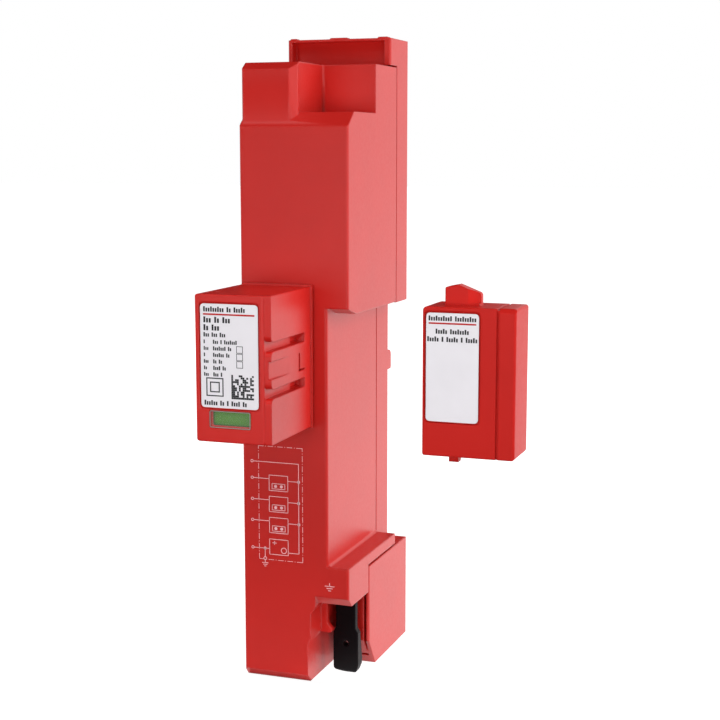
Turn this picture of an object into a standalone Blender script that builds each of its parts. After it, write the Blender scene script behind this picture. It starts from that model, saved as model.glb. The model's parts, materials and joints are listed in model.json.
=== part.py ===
"""Surge arrester for a five-bar busbar system, with a projecting head, a status flag and a locking slide.

The housing stands on its lower end. X runs to the right, Y to the back and Z up, and all sizes are in metres.
Inside this file X starts at the left side and Y at the front face. The stand moves the origin onto the base.
"""

import math

import bmesh
import bpy
from mathutils import Matrix, Vector

MM = 0.001

# Busbars: five bars, each at most 12 mm high and 10 mm deep
BAR_PITCH = 40.0 * MM
BAR_LOWEST = 28.0 * MM
BAR_HEIGHT = 12.0 * MM
BAR_DEPTH = 10.0 * MM
BAR_CLEARANCE = 0.6 * MM

# Housing, from the lower end up
FOOT_TOP = 39.2 * MM
FOOT_HEIGHT = 12.8 * MM
FOOT_FLOOR = 3.0 * MM
REAR_FOOT_STEP = 4.3 * MM
BOX_LOW = 119.4 * MM
BOX_SLOPE = (7.4 * MM, 2.2 * MM)
ABOVE_TOP_BAR = 18.0 * MM
POCKET_HEIGHT = 9.2 * MM
NOTCH_HEIGHT = 15.3 * MM
BOX_CHAMFER = (5.3 * MM, 4.5 * MM)
BLOCK_CHAMFER = (3.3 * MM, 2.3 * MM)
LOWER_CHAMFER = (2.5 * MM, 2.8 * MM)

# Housing, across and front to back
MODULE = 18.0 * MM
SIDE_RECESS = 7.0 * MM
SLIDE_BAY = 14.0 * MM
LEFT_BLOCK = 18.0 * MM
LEFT_BLOCK_FRONT = 2.2 * MM
BLOCK_BEVEL = 2.2 * MM
NOTCH_BACK = 25.4 * MM
FRONT_DEPTH = 46.5 * MM
REAR_DEPTH = 12.0 * MM
ORIGIN_DEPTH = 30.0 * MM
WALL = 1.8 * MM
SEAM = 0.5 * MM
PIECE_GAP = 0.4 * MM
EDGE_RADIUS = 0.8 * MM
OVERLAP = 1.0 * MM

# Side panel over the guide of the slide
PANEL_FRONT = 19.4 * MM
PANEL_GAP = 0.8 * MM
PANEL_WALL = 1.1 * MM
PANEL_LIP = 9.5 * MM
PANEL_SLOPE = 6.3 * MM

# Contacts
CLAW_WIDTH = 12.0 * MM
CLAW_SHEET = 1.6 * MM
CLAW_REACH = 9.0 * MM
CLAW_BEND = 0.8 * MM
TAB_BEHIND = 4.0 * MM
TAB_LENGTH = 12.0 * MM
STRAP_WIDTH = 8.0 * MM
RAIL_WIDTH = 6.8 * MM
RAIL_SHEET = 1.6 * MM

# Spark gaps
GAP_LENGTH = 24.4 * MM
GAP_BEHIND = 1.9 * MM
GAP_STUD = 2.4 * MM
EARTH_GAP_LESS = 1.0 * MM

# Head module
HEAD_CORE = 22.0 * MM
HEAD_PAD = 2.1 * MM
HEAD_REACH = 33.0 * MM
HEAD_LOW = 84.5 * MM
HEAD_HEIGHT = 43.9 * MM
HEAD_WALL = 1.6 * MM
HEAD_CORNER = 1.1 * MM
PAD_STEP = 0.5 * MM
PAD_CORNER = 1.7 * MM
RIM = 0.5 * MM
RIM_THICKNESS = 1.2 * MM
GROOVE_HEIGHT = 2.8 * MM
GROOVE_RISE = 13.6 * MM
GROOVE_PITCH = 13.9 * MM
BAND_DEPTH = 6.6 * MM
CATCH_LENGTH = 6.6 * MM
CATCH_DEPTH = 1.1 * MM
SPIGOT_INSET = 2.6 * MM
SPIGOT_WALL = 1.2 * MM
SPIGOT_REACH = 5.2 * MM

# Labels, status window and flag
LABEL_SHEET = 0.3 * MM
LABEL_RECESS = 0.65 * MM
LABEL_CORNER = 1.1 * MM
LABEL_SIZE = (18.4 * MM, 30.8 * MM)
LABEL_BELOW = 2.8 * MM
WINDOW_SIZE = (12.2 * MM, 4.2 * MM)
WINDOW_RISE = 4.8 * MM
WINDOW_SHEET = 0.7 * MM
WINDOW_INSET = 0.2 * MM
BEZEL = 0.6 * MM
FLAG_RADIUS = 4.2 * MM
FLAG_SHEET = 1.1 * MM
FLAG_WIDTH = 14.4 * MM
FLAG_BEHIND = 6.5 * MM
AXLE_RADIUS = 0.8 * MM
AXLE_CLEARANCE = 0.35 * MM

# Locking slide
SLIDE_SIDE = 2.1 * MM
SLIDE_FRONT = 12.0 * MM
SLIDE_SHEET = 2.2 * MM
SLIDE_TRAVEL = 4.6 * MM
SLIDE_TIP = 0.6 * MM
PADDLE_LENGTH = 13.6 * MM
PADDLE_DEPTH = 4.2 * MM
PADDLE_SIDE = 0.9 * MM
PADDLE_CORNER = 1.3 * MM
ARM_LOW = 15.4 * MM
ARM_HEIGHT = 4.0 * MM
ARM_WIDTH = 3.4 * MM
HOOK_TOP = 26.0 * MM
HOOK_SHEET = 2.4 * MM
SLIDE_HOLE = 0.95 * MM
HOLE_BELOW = 3.6 * MM
SPRING_WIRE = 0.35 * MM
SPRING_RADIUS = 2.4 * MM
SPRING_TURNS = 6

# Marking cover, shown pulled off to the right
COVER_PULL = 45.4 * MM
COVER_WIDTH = 26.6 * MM
COVER_ABOVE = 0.7 * MM
COVER_HEIGHT = 42.0 * MM
COVER_DEPTH = 14.6 * MM
COVER_WALL = 1.5 * MM
COVER_STRIP = 5.4 * MM
COVER_LABEL_SIZE = (15.1 * MM, 30.5 * MM)
RAIL_DEPTH = 1.8 * MM
RAIL_CLEARANCE = 0.55 * MM

# Levels and planes that follow from the sizes above
BAR_NAMES = ("pe", "l3", "l2", "l1", "n")
BAR_Z = {name: BAR_LOWEST + BAR_PITCH * place for place, name in enumerate(BAR_NAMES)}
TOP = BAR_Z["n"] + ABOVE_TOP_BAR
FRONT_TOP = TOP - POCKET_HEIGHT
LEDGE = FRONT_TOP - NOTCH_HEIGHT
FOOT_UNDER = FOOT_TOP - FOOT_HEIGHT
REAR_FOOT_TOP = FOOT_TOP - REAR_FOOT_STEP
WIDTH = 2 * MODULE
MID_WIDTH = WIDTH - SIDE_RECESS
LOWER_WIDTH = WIDTH - SLIDE_BAY
REAR_FRONT = FRONT_DEPTH + SEAM
DEPTH = REAR_FRONT + REAR_DEPTH
REAR_INNER = DEPTH - WALL
GAP_X = LOWER_WIDTH / 2
HEAD_WIDTH = HEAD_CORE + HEAD_PAD
HEAD_FRONT = -HEAD_REACH
HEAD_HIGH = HEAD_LOW + HEAD_HEIGHT
HEAD_MIDDLE = HEAD_CORE / 2
GROOVES = (HEAD_LOW + GROOVE_RISE, HEAD_LOW + GROOVE_RISE + GROOVE_PITCH)
GROOVE_END = -BAND_DEPTH
COVER_LEFT = HEAD_WIDTH + PIECE_GAP + COVER_PULL
COVER_LOW = HEAD_LOW + COVER_ABOVE
COVER_HIGH = COVER_LOW + COVER_HEIGHT
COVER_BACK = HEAD_FRONT + COVER_DEPTH

# Curve steps of a quarter turn, and the turns that lay a flat outline across each axis
ARC_STEPS = 4
TURNS = {
    "X": Matrix(((0, 0, 1), (1, 0, 0), (0, 1, 0))).to_4x4(),
    "Y": Matrix(((1, 0, 0), (0, 0, -1), (0, 1, 0))).to_4x4(),
    "Z": Matrix.Identity(4),
}
ALONG = {"X": Vector((1, 0, 0)), "Y": Vector((0, 1, 0)), "Z": Vector((0, 0, 1))}


def clear_scene():
    for obj in list(bpy.data.objects):
        bpy.data.objects.remove(obj, do_unlink=True)
    for group in list(bpy.data.collections):
        bpy.data.collections.remove(group)


clear_scene()
PART = bpy.data.collections.new("din_rail_surge_arrester")
CUTTERS = bpy.data.collections.new("cutters")
bpy.context.scene.collection.children.link(PART)
bpy.context.scene.collection.children.link(CUTTERS)
CUTTERS.hide_render = True
stand = bpy.data.objects.new("stand", None)
stand.location = (-WIDTH / 2, -ORIGIN_DEPTH, 0.0)
PART.objects.link(stand)


def material(name, color, roughness, metallic=0.0, alpha=1.0):
    made = bpy.data.materials.new(name)
    made.use_nodes = True
    shader = made.node_tree.nodes["Principled BSDF"]
    shader.inputs["Base Color"].default_value = (*color, 1.0)
    shader.inputs["Roughness"].default_value = roughness
    shader.inputs["Metallic"].default_value = metallic
    shader.inputs["Alpha"].default_value = alpha
    return made


RED = material("red_plastic", (0.55, 0.025, 0.02), 0.45)
BLACK = material("black_plastic", (0.02, 0.018, 0.02), 0.5)
CLEAR = material("clear_plastic", (0.8, 0.85, 0.8), 0.1, alpha=0.35)
LABEL = material("label_film", (0.8, 0.78, 0.8), 0.4)
FLAG = material("flag_plastic", (0.12, 0.32, 0.08), 0.5)
COPPER = material("copper", (0.72, 0.38, 0.22), 0.3, 1.0)
STEEL = material("spring_steel", (0.55, 0.55, 0.56), 0.3, 1.0)
CERAMIC = material("gap_body", (0.75, 0.72, 0.66), 0.5)
BOARD = material("circuit_board", (0.05, 0.2, 0.08), 0.5)
DARK = material("component_case", (0.04, 0.04, 0.05), 0.5)
BLUE = material("varistor_coat", (0.05, 0.12, 0.35), 0.4)


def place(name, mesh, slot):
    """Puts a mesh into the part if it has a material, and otherwise among the shapes that cut or join."""
    obj = bpy.data.objects.new(name, mesh)
    if slot:
        mesh.materials.append(slot)
        PART.objects.link(obj)
    else:
        CUTTERS.objects.link(obj)
        obj.hide_render = True
        obj.display_type = "WIRE"
    obj.parent = stand
    return obj


def shaped(name, shape, slot, at):
    """Makes an object of a shape, on a grid of 0.1 micrometres so that flush faces are flush."""
    for vert in shape.verts:
        vert.co = [round(value, 7) for value in vert.co]
    mesh = bpy.data.meshes.new(name)
    shape.to_mesh(mesh)
    shape.free()
    obj = place(name, mesh, slot)
    obj.location = at
    return obj


def prism(name, axis, outline, span, slot=None, at=(0.0, 0.0, 0.0)):
    """A flat outline made thick along one axis. It holds the two other coordinates in order."""
    curve = bpy.data.curves.new(name, "CURVE")
    curve.dimensions = "2D"
    curve.fill_mode = "BOTH"
    curve.extrude = (span[1] - span[0]) / 2
    line = curve.splines.new("POLY")
    line.points.add(len(outline) - 1)
    for point, (across, up) in zip(line.points, outline):
        point.co = (across, up, 0.0, 1.0)
    line.use_cyclic_u = True
    flat = bpy.data.objects.new(name + "_outline", curve)
    bpy.context.scene.collection.objects.link(flat)
    bpy.context.view_layer.update()
    filled = bpy.data.meshes.new_from_object(flat.evaluated_get(bpy.context.evaluated_depsgraph_get()))
    bpy.data.objects.remove(flat)
    bpy.data.curves.remove(curve)
    shape = bmesh.new()
    shape.from_mesh(filled)
    bpy.data.meshes.remove(filled)
    bmesh.ops.remove_doubles(shape, verts=shape.verts, dist=MM / 1000)
    bmesh.ops.dissolve_limit(shape, angle_limit=math.radians(0.1), verts=shape.verts, edges=shape.edges)
    bmesh.ops.recalc_face_normals(shape, faces=shape.faces)
    middle = Matrix.Translation(ALONG[axis] * (span[0] + span[1]) / 2)
    bmesh.ops.transform(shape, matrix=middle @ TURNS[axis], verts=shape.verts)
    return shaped(name, shape, slot, at)


def block(name, x, y, z, slot=None, at=(0.0, 0.0, 0.0)):
    """A box between two limits on each axis."""
    shape = bmesh.new()
    bmesh.ops.create_cube(shape, size=1.0)
    bmesh.ops.scale(shape, vec=(x[1] - x[0], y[1] - y[0], z[1] - z[0]), verts=shape.verts)
    bmesh.ops.translate(shape, vec=Vector((x[0] + x[1], y[0] + y[1], z[0] + z[1])) / 2, verts=shape.verts)
    return shaped(name, shape, slot, at)


def rod(name, axis, radius, span, slot=None, at=(0.0, 0.0, 0.0), sides=18):
    """A round bar along one axis through its own origin, between two limits."""
    shape = bmesh.new()
    middle = Matrix.Translation(ALONG[axis] * (span[0] + span[1]) / 2)
    bmesh.ops.create_cone(
        shape,
        cap_ends=True,
        segments=sides,
        radius1=radius,
        radius2=radius,
        depth=span[1] - span[0],
        matrix=middle @ TURNS[axis],
    )
    return shaped(name, shape, slot, at)


def arc(centre, radius, first, last, steps):
    """Points on an arc, from the first angle to the last, in degrees."""
    turns = [math.radians(first + (last - first) * k / steps) for k in range(steps + 1)]
    return [(centre[0] + radius * math.cos(t), centre[1] + radius * math.sin(t)) for t in turns]


def filleted(*corners):
    """An outline whose corners are rounded where they give a radius as their third value."""
    outline = []
    for k, corner in enumerate(corners):
        here = Vector(corner[:2])
        if len(corner) == 2:
            outline.append(tuple(here))
            continue
        radius = corner[2]
        back = (Vector(corners[k - 1][:2]) - here).normalized()
        ahead = (Vector(corners[(k + 1) % len(corners)][:2]) - here).normalized()
        half = back.angle(ahead) / 2
        centre = here + (back + ahead).normalized() * radius / math.sin(half)
        start = here + back * radius / math.tan(half) - centre
        finish = here + ahead * radius / math.tan(half) - centre
        first = math.degrees(math.atan2(start.y, start.x))
        sweep = (math.degrees(math.atan2(finish.y, finish.x)) - first + 180) % 360 - 180
        steps = max(2, round(abs(sweep) / 90 * ARC_STEPS))
        outline += arc(centre, radius, first, first + sweep, steps)
    return outline


def rounded(low, high, radius):
    """A rectangle with rounded corners, from two opposite corners."""
    (left, under), (right, over) = low, high
    corners = ((left, under), (right, under), (right, over), (left, over))
    return filleted(*((across, up, radius) for across, up in corners))


def edge_rounder(name, axis, corner, outward, span, radius=EDGE_RADIUS, at=(0.0, 0.0, 0.0)):
    """A cutter that rounds a straight outer edge. Outward holds the signs that point away from the solid."""
    across, up = corner
    side, rise = outward
    centre = (across - side * radius, up - rise * radius)
    quarter = [
        (centre[0] + side * dx, centre[1] + rise * dy) for dx, dy in arc((0.0, 0.0), radius, 90, 0, ARC_STEPS)
    ]
    beyond = (across + side * OVERLAP, up + rise * OVERLAP)
    return prism(name, axis, [*quarter, (beyond[0], centre[1]), beyond, (centre[0], beyond[1])], span, at=at)


def combine(obj, operation, others):
    for other in others:
        step = obj.modifiers.new(f"{operation.lower()}_{other.name}"[:60], "BOOLEAN")
        step.operation = operation
        step.solver = "EXACT"
        step.object = other


def join(obj, *others):
    combine(obj, "UNION", others)


def cut(obj, *others):
    combine(obj, "DIFFERENCE", others)


def smooth(obj, angle=35):
    for face in obj.data.polygons:
        face.use_smooth = True
    obj.data.set_sharp_from_angle(angle=math.radians(angle))
    return obj


# Front housing: a wide box above, a narrower body and a foot, hollow and open to the back
slope_depth, slope_rise = BOX_SLOPE
chamfer_depth, chamfer_rise = BOX_CHAMFER
front = prism(
    "front_housing",
    "X",
    [
        (0.0, BOX_LOW + slope_rise),
        (0.0, LEDGE - chamfer_rise),
        (chamfer_depth, LEDGE),
        (FRONT_DEPTH, LEDGE),
        (FRONT_DEPTH, BOX_LOW),
        (slope_depth, BOX_LOW),
    ],
    (0.0, WIDTH),
    RED,
)
block_depth, block_rise = BLOCK_CHAMFER
left_block = prism(
    "left_block",
    "Z",
    filleted(
        (0.0, LEFT_BLOCK_FRONT, EDGE_RADIUS),
        (LEFT_BLOCK - BLOCK_BEVEL, LEFT_BLOCK_FRONT),
        (LEFT_BLOCK, LEFT_BLOCK_FRONT + BLOCK_BEVEL),
        (LEFT_BLOCK, FRONT_DEPTH),
        (0.0, FRONT_DEPTH),
    ),
    (LEDGE - chamfer_rise - 2 * OVERLAP, FRONT_TOP),
)
cut(
    left_block,
    prism(
        "left_block_chamfer",
        "X",
        [
            (LEFT_BLOCK_FRONT - block_depth, FRONT_TOP - 2 * block_rise),
            (LEFT_BLOCK_FRONT + block_depth, FRONT_TOP),
            (LEFT_BLOCK_FRONT + block_depth, FRONT_TOP + block_rise),
            (LEFT_BLOCK_FRONT - block_depth, FRONT_TOP + block_rise),
        ],
        (-OVERLAP, LEFT_BLOCK + OVERLAP),
    ),
)
back_block = block(
    "back_block", (0.0, WIDTH), (NOTCH_BACK, FRONT_DEPTH), (LEDGE - chamfer_rise, FRONT_TOP)
)
mid_body = prism(
    "mid_body",
    "Z",
    filleted((0.0, 0.0), (MID_WIDTH, 0.0, EDGE_RADIUS), (MID_WIDTH, FRONT_DEPTH), (0.0, FRONT_DEPTH)),
    (FOOT_TOP - 2 * OVERLAP, BOX_LOW + 5 * OVERLAP),
)
foot = prism(
    "foot",
    "X",
    [
        (0.0, FOOT_UNDER + FOOT_FLOOR),
        (0.0, FOOT_TOP),
        (FRONT_DEPTH, FOOT_TOP),
        (FRONT_DEPTH, REAR_FOOT_TOP + PANEL_GAP),
        (PANEL_FRONT - SEAM, REAR_FOOT_TOP + PANEL_GAP),
        (PANEL_FRONT - SEAM, FOOT_UNDER),
        (FOOT_FLOOR, FOOT_UNDER),
    ],
    (0.0, WIDTH),
)

# The lower body widens twice on its way up to the foot
STEP_LOW = (1.0 * MM, 13.0 * MM, 2.4 * MM)
STEP_HIGH = (2.6 * MM, 23.4 * MM, 1.9 * MM)
lower_body = prism(
    "lower_body",
    "Y",
    [
        (0.0, 0.0),
        (LOWER_WIDTH, 0.0),
        (LOWER_WIDTH, STEP_LOW[1]),
        (LOWER_WIDTH + STEP_LOW[0], STEP_LOW[1] + STEP_LOW[2]),
        (LOWER_WIDTH + STEP_LOW[0], STEP_HIGH[1]),
        (LOWER_WIDTH + STEP_HIGH[0], STEP_HIGH[1] + STEP_HIGH[2]),
        (LOWER_WIDTH + STEP_HIGH[0], FOOT_TOP - OVERLAP),
        (0.0, FOOT_TOP - OVERLAP),
    ],
    (0.0, FRONT_DEPTH),
)

# A rib on the lower body leads the slide and flares out over the shoulder of its paddle
RIB_HEIGHT = 2.2 * MM
RIB_FLARE = 3.9 * MM
RIB_LOW = 14.6 * MM
RIB_NOSE = 0.6 * MM
RIB_SHEET = 2.0 * MM
rib_foot = LOWER_WIDTH + STEP_LOW[0]
guide_rib = prism(
    "guide_rib",
    "Y",
    filleted(
        (LOWER_WIDTH - OVERLAP, RIB_LOW),
        (rib_foot + RIB_FLARE - RIB_NOSE, RIB_LOW),
        (rib_foot + RIB_FLARE, RIB_LOW + RIB_NOSE),
        (rib_foot + RIB_FLARE, RIB_LOW + 2 * RIB_NOSE),
        (rib_foot + RIB_HEIGHT, RIB_LOW + 2 * RIB_NOSE + RIB_FLARE / 2, 3 * RIB_NOSE),
        (rib_foot + RIB_HEIGHT, FOOT_UNDER + OVERLAP),
        (LOWER_WIDTH - OVERLAP, FOOT_UNDER + OVERLAP),
    ),
    (SLIDE_FRONT - 2 * PIECE_GAP - RIB_SHEET, SLIDE_FRONT - 2 * PIECE_GAP),
)
FILLET = 1.0 * MM
notch_fillet = prism(
    "notch_fillet",
    "Z",
    [
        (LEFT_BLOCK - OVERLAP, NOTCH_BACK + OVERLAP),
        (LEFT_BLOCK - OVERLAP, NOTCH_BACK - FILLET),
        *arc((LEFT_BLOCK + FILLET, NOTCH_BACK - FILLET), FILLET, 180, 90, ARC_STEPS),
        (LEFT_BLOCK + FILLET, NOTCH_BACK + OVERLAP),
    ],
    (LEDGE - OVERLAP, FRONT_TOP),
)
ledge_fillet = prism(
    "ledge_fillet",
    "Y",
    [
        (MID_WIDTH - OVERLAP, FOOT_TOP - OVERLAP),
        (MID_WIDTH + FILLET, FOOT_TOP - OVERLAP),
        *arc((MID_WIDTH + FILLET, FOOT_TOP + FILLET), FILLET, 270, 180, ARC_STEPS),
        (MID_WIDTH - OVERLAP, FOOT_TOP + FILLET),
    ],
    (EDGE_RADIUS, FRONT_DEPTH),
)
join(front, left_block, back_block, mid_body, foot, lower_body, guide_rib, notch_fillet, ledge_fillet)

# Sizes shared by the slide and the slots that it runs in
SLIDE_X = (LOWER_WIDTH + STEP_HIGH[0] + SEAM + SLIDE_SIDE, WIDTH - SLIDE_SIDE)
SLIDE_MIDDLE = (SLIDE_X[0] + SLIDE_X[1]) / 2
PANEL_LEFT = SLIDE_X[0] - SLIDE_SIDE
ARM_HIGH = ARM_LOW + ARM_HEIGHT
ARM_SLOT = (ARM_LOW - SLIDE_TRAVEL - PIECE_GAP, ARM_HIGH + PIECE_GAP)
ARM_X = (SLIDE_X[0] + 0.6 * MM, SLIDE_X[0] + 0.6 * MM + ARM_WIDTH)
ARM_SLOT_X = (ARM_X[0] - PIECE_GAP, ARM_X[1] + PIECE_GAP)
room_top = LEDGE - WALL
lower_depth, lower_rise = LOWER_CHAMFER
cut(
    front,
    edge_rounder("left_edge", "Z", (0.0, 0.0), (-1, -1), (-OVERLAP, LEDGE)),
    edge_rounder("right_edge", "Z", (WIDTH, 0.0), (1, -1), (-OVERLAP, LEDGE + OVERLAP)),
    block(
        "room_box",
        (WALL, WIDTH - WALL),
        (WALL, FRONT_DEPTH + OVERLAP),
        (BOX_LOW + slope_rise + WALL, LEDGE - chamfer_rise - WALL),
    ),
    block(
        "room_ledge",
        (WALL, WIDTH - WALL),
        (chamfer_depth + WALL, FRONT_DEPTH + OVERLAP),
        (LEDGE - chamfer_rise - 4 * WALL, room_top),
    ),
    block(
        "room_back",
        (WALL, WIDTH - WALL),
        (NOTCH_BACK + WALL, FRONT_DEPTH + OVERLAP),
        (room_top - OVERLAP, FRONT_TOP - WALL),
    ),
    block(
        "room_left",
        (WALL, LEFT_BLOCK - WALL),
        (LEFT_BLOCK_FRONT + block_depth - WALL, FRONT_DEPTH + OVERLAP),
        (room_top - OVERLAP, FRONT_TOP - WALL),
    ),
    block(
        "room_mid",
        (WALL, MID_WIDTH - WALL),
        (WALL, FRONT_DEPTH + OVERLAP),
        (FOOT_TOP - 2 * OVERLAP, BOX_LOW + slope_rise + WALL + OVERLAP),
    ),
    block(
        "room_lower",
        (WALL, LOWER_WIDTH - WALL),
        (WALL + OVERLAP, FRONT_DEPTH + OVERLAP),
        (WALL, FOOT_TOP),
    ),
    block(
        "room_foot",
        (LOWER_WIDTH, WIDTH - WALL),
        (WALL, PANEL_FRONT - SEAM - WALL),
        (FOOT_UNDER + FOOT_FLOOR, FOOT_TOP - WALL),
    ),
    block(
        "slide_slot",
        (SLIDE_X[0] - PIECE_GAP, SLIDE_X[1] + PIECE_GAP),
        (SLIDE_FRONT - PIECE_GAP, SLIDE_FRONT + SLIDE_SHEET + PIECE_GAP),
        (FOOT_UNDER - OVERLAP, FOOT_UNDER + FOOT_FLOOR + OVERLAP),
    ),
    block(
        "head_opening",
        (SPIGOT_INSET - PIECE_GAP / 2, HEAD_CORE - SPIGOT_INSET + PIECE_GAP),
        (-OVERLAP, 2 * WALL),
        (HEAD_LOW + SPIGOT_INSET - PIECE_GAP, HEAD_HIGH - SPIGOT_INSET + PIECE_GAP),
    ),
    prism(
        "lower_chamfer",
        "X",
        [
            (-lower_depth, 2 * lower_rise),
            (-lower_depth, -lower_rise),
            (2 * lower_depth, -lower_rise),
        ],
        (-OVERLAP, LOWER_WIDTH + OVERLAP),
    ),
)

# Rear housing with the side panel, a pocket at the top and a lug below the middle bar
POCKET_BACK = FRONT_DEPTH - 2.2 * MM
FLANGE_FRONT = POCKET_BACK - 4.0 * MM
LINTEL = 0.9 * MM
LEFT_FLANGE = 1.5 * MM
RIGHT_FLANGE = 2.2 * MM
UNDER_BOX = BOX_LOW - 0.3 * MM
rear = prism(
    "rear_housing",
    "X",
    filleted(
        (REAR_FRONT, UNDER_BOX),
        (DEPTH, UNDER_BOX, EDGE_RADIUS),
        (DEPTH, TOP, EDGE_RADIUS),
        (POCKET_BACK, TOP),
        (POCKET_BACK, FRONT_TOP + SEAM),
        (REAR_FRONT, FRONT_TOP + SEAM),
    ),
    (0.0, WIDTH),
    RED,
)
rear_foot_low = REAR_FOOT_TOP - 5 * OVERLAP
flange_y = (FLANGE_FRONT, POCKET_BACK + OVERLAP)
join(
    rear,
    block("left_flange", (0.0, LEFT_FLANGE), flange_y, (FRONT_TOP + SEAM, TOP)),
    block("right_flange", (WIDTH - RIGHT_FLANGE, WIDTH), flange_y, (FRONT_TOP + SEAM, TOP)),
    block("pocket_lintel", (LEFT_FLANGE / 2, WIDTH - RIGHT_FLANGE / 2), flange_y, (TOP - LINTEL, TOP)),
    block("rear_mid", (0.0, MID_WIDTH), (REAR_FRONT, DEPTH), (rear_foot_low, UNDER_BOX + 5 * OVERLAP)),
    block("rear_foot", (0.0, WIDTH), (REAR_FRONT, DEPTH), (0.0, REAR_FOOT_TOP)),
    prism(
        "panel_box",
        "X",
        [
            (PANEL_FRONT, PANEL_LIP),
            (PANEL_FRONT, REAR_FOOT_TOP),
            (DEPTH - OVERLAP, REAR_FOOT_TOP),
            (DEPTH - OVERLAP, 0.0),
            (PANEL_FRONT + PANEL_SLOPE, 0.0),
        ],
        (PANEL_LEFT, WIDTH),
    ),
)

# Three low stops on the front edge of the pocket, with sloping ends
STOP_HEIGHT = 0.4 * MM
STOP_LENGTH = 2.6 * MM
for name, left, right in (
    ("stop_left", EDGE_RADIUS, 3.4 * MM),
    ("stop_middle", WIDTH / 2 - 3.2 * MM, WIDTH / 2 + 3.2 * MM),
    ("stop_right", WIDTH - 4.6 * MM, WIDTH - EDGE_RADIUS),
):
    join(
        rear,
        prism(
            name,
            "Y",
            [
                (left - STOP_HEIGHT, TOP - STOP_HEIGHT),
                (left + STOP_HEIGHT, TOP + STOP_HEIGHT),
                (right - STOP_HEIGHT, TOP + STOP_HEIGHT),
                (right + STOP_HEIGHT, TOP - STOP_HEIGHT),
            ],
            (FLANGE_FRONT, FLANGE_FRONT + STOP_LENGTH),
        ),
    )
LUG_REACH = 3.6 * MM
LUG_HEIGHT = 6.8 * MM
LUG_WIDTH = 4.0 * MM
lug_top = BAR_Z["l2"] - BAR_HEIGHT / 2 - BAR_CLEARANCE - PIECE_GAP
join(
    rear,
    prism(
        "bar_lug",
        "X",
        filleted(
            (DEPTH - OVERLAP, lug_top - LUG_HEIGHT),
            (DEPTH + LUG_REACH, lug_top - LUG_HEIGHT, 0.8 * MM),
            (DEPTH + LUG_REACH, lug_top, 2.0 * MM),
            (DEPTH - OVERLAP, lug_top),
        ),
        (MID_WIDTH - LUG_WIDTH, MID_WIDTH),
    ),
)

# Its rooms, the slit beside the panel, and the slots for the slide's arm and the claws
SLIT = 0.7 * MM
slit_back = PANEL_FRONT + 3 * OVERLAP
pocket_tall = (FRONT_TOP + SEAM - OVERLAP, TOP + OVERLAP)
slit_low = PANEL_LIP / 3
panel_inner = PANEL_FRONT + WALL
cut(
    rear,
    block(
        "rear_room_box",
        (WALL, WIDTH - WALL),
        (POCKET_BACK + WALL, REAR_INNER),
        (UNDER_BOX + WALL, TOP - WALL),
    ),
    block(
        "rear_room_mid",
        (WALL, MID_WIDTH - WALL),
        (REAR_FRONT - OVERLAP, REAR_INNER),
        (rear_foot_low + WALL, UNDER_BOX + WALL + OVERLAP),
    ),
    block(
        "rear_room_foot",
        (WALL, WIDTH - WALL),
        (REAR_FRONT - OVERLAP, REAR_INNER),
        (WALL, REAR_FOOT_TOP - WALL),
    ),
    prism(
        "panel_room",
        "X",
        [
            (panel_inner, PANEL_LIP + PANEL_WALL),
            (panel_inner, REAR_FOOT_TOP - WALL),
            (REAR_INNER - OVERLAP, REAR_FOOT_TOP - WALL),
            (REAR_INNER - OVERLAP, WALL),
            (PANEL_FRONT + PANEL_SLOPE + PANEL_WALL, WALL),
        ],
        (PANEL_LEFT + PANEL_WALL, WIDTH - WALL),
    ),
    prism(
        "panel_slit",
        "X",
        [
            (PANEL_FRONT - OVERLAP, PANEL_LIP + PIECE_GAP),
            (PANEL_FRONT - OVERLAP, REAR_FOOT_TOP - WALL),
            (slit_back, REAR_FOOT_TOP - WALL),
            (slit_back, slit_low),
            (PANEL_FRONT + PANEL_SLOPE / 6, slit_low),
        ],
        (WIDTH - PANEL_WALL - SLIT, WIDTH - PANEL_WALL),
    ),
    block(
        "panel_slit_foot",
        (SLIDE_MIDDLE + OVERLAP, WIDTH - PANEL_WALL - SLIT / 2),
        (PANEL_FRONT, slit_back + PANEL_SLOPE / 3),
        (slit_low, slit_low + SLIT),
    ),
    edge_rounder("panel_edge", "Z", (WIDTH, PANEL_FRONT), (1, -1), (PANEL_LIP, REAR_FOOT_TOP + OVERLAP)),
    edge_rounder("flange_edge_right", "Z", (WIDTH, FLANGE_FRONT), (1, -1), pocket_tall),
    edge_rounder("flange_edge_left", "Z", (0.0, FLANGE_FRONT), (-1, -1), pocket_tall),
    edge_rounder("back_edge_right", "Z", (WIDTH, DEPTH), (1, 1), (UNDER_BOX - OVERLAP, TOP + OVERLAP)),
    edge_rounder("back_edge_left", "Z", (0.0, DEPTH), (-1, 1), (-OVERLAP, TOP + OVERLAP)),
    block("arm_slot_front", ARM_SLOT_X, (PANEL_FRONT - OVERLAP, panel_inner + OVERLAP), ARM_SLOT),
    block("arm_slot_rear", ARM_SLOT_X, (REAR_INNER - OVERLAP, DEPTH + OVERLAP), ARM_SLOT),
)
neck_low = BAR_HEIGHT / 2 + BAR_CLEARANCE
neck_high = neck_low + CLAW_SHEET
claw_x = (GAP_X - CLAW_WIDTH / 2, GAP_X + CLAW_WIDTH / 2)
for name, z in BAR_Z.items():
    cut(
        rear,
        block(
            f"claw_slot_{name}",
            (claw_x[0] - PIECE_GAP, claw_x[1] + PIECE_GAP),
            (REAR_INNER - OVERLAP, DEPTH + OVERLAP),
            (z + neck_low - PIECE_GAP, z + neck_high + PIECE_GAP),
        ),
    )

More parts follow.
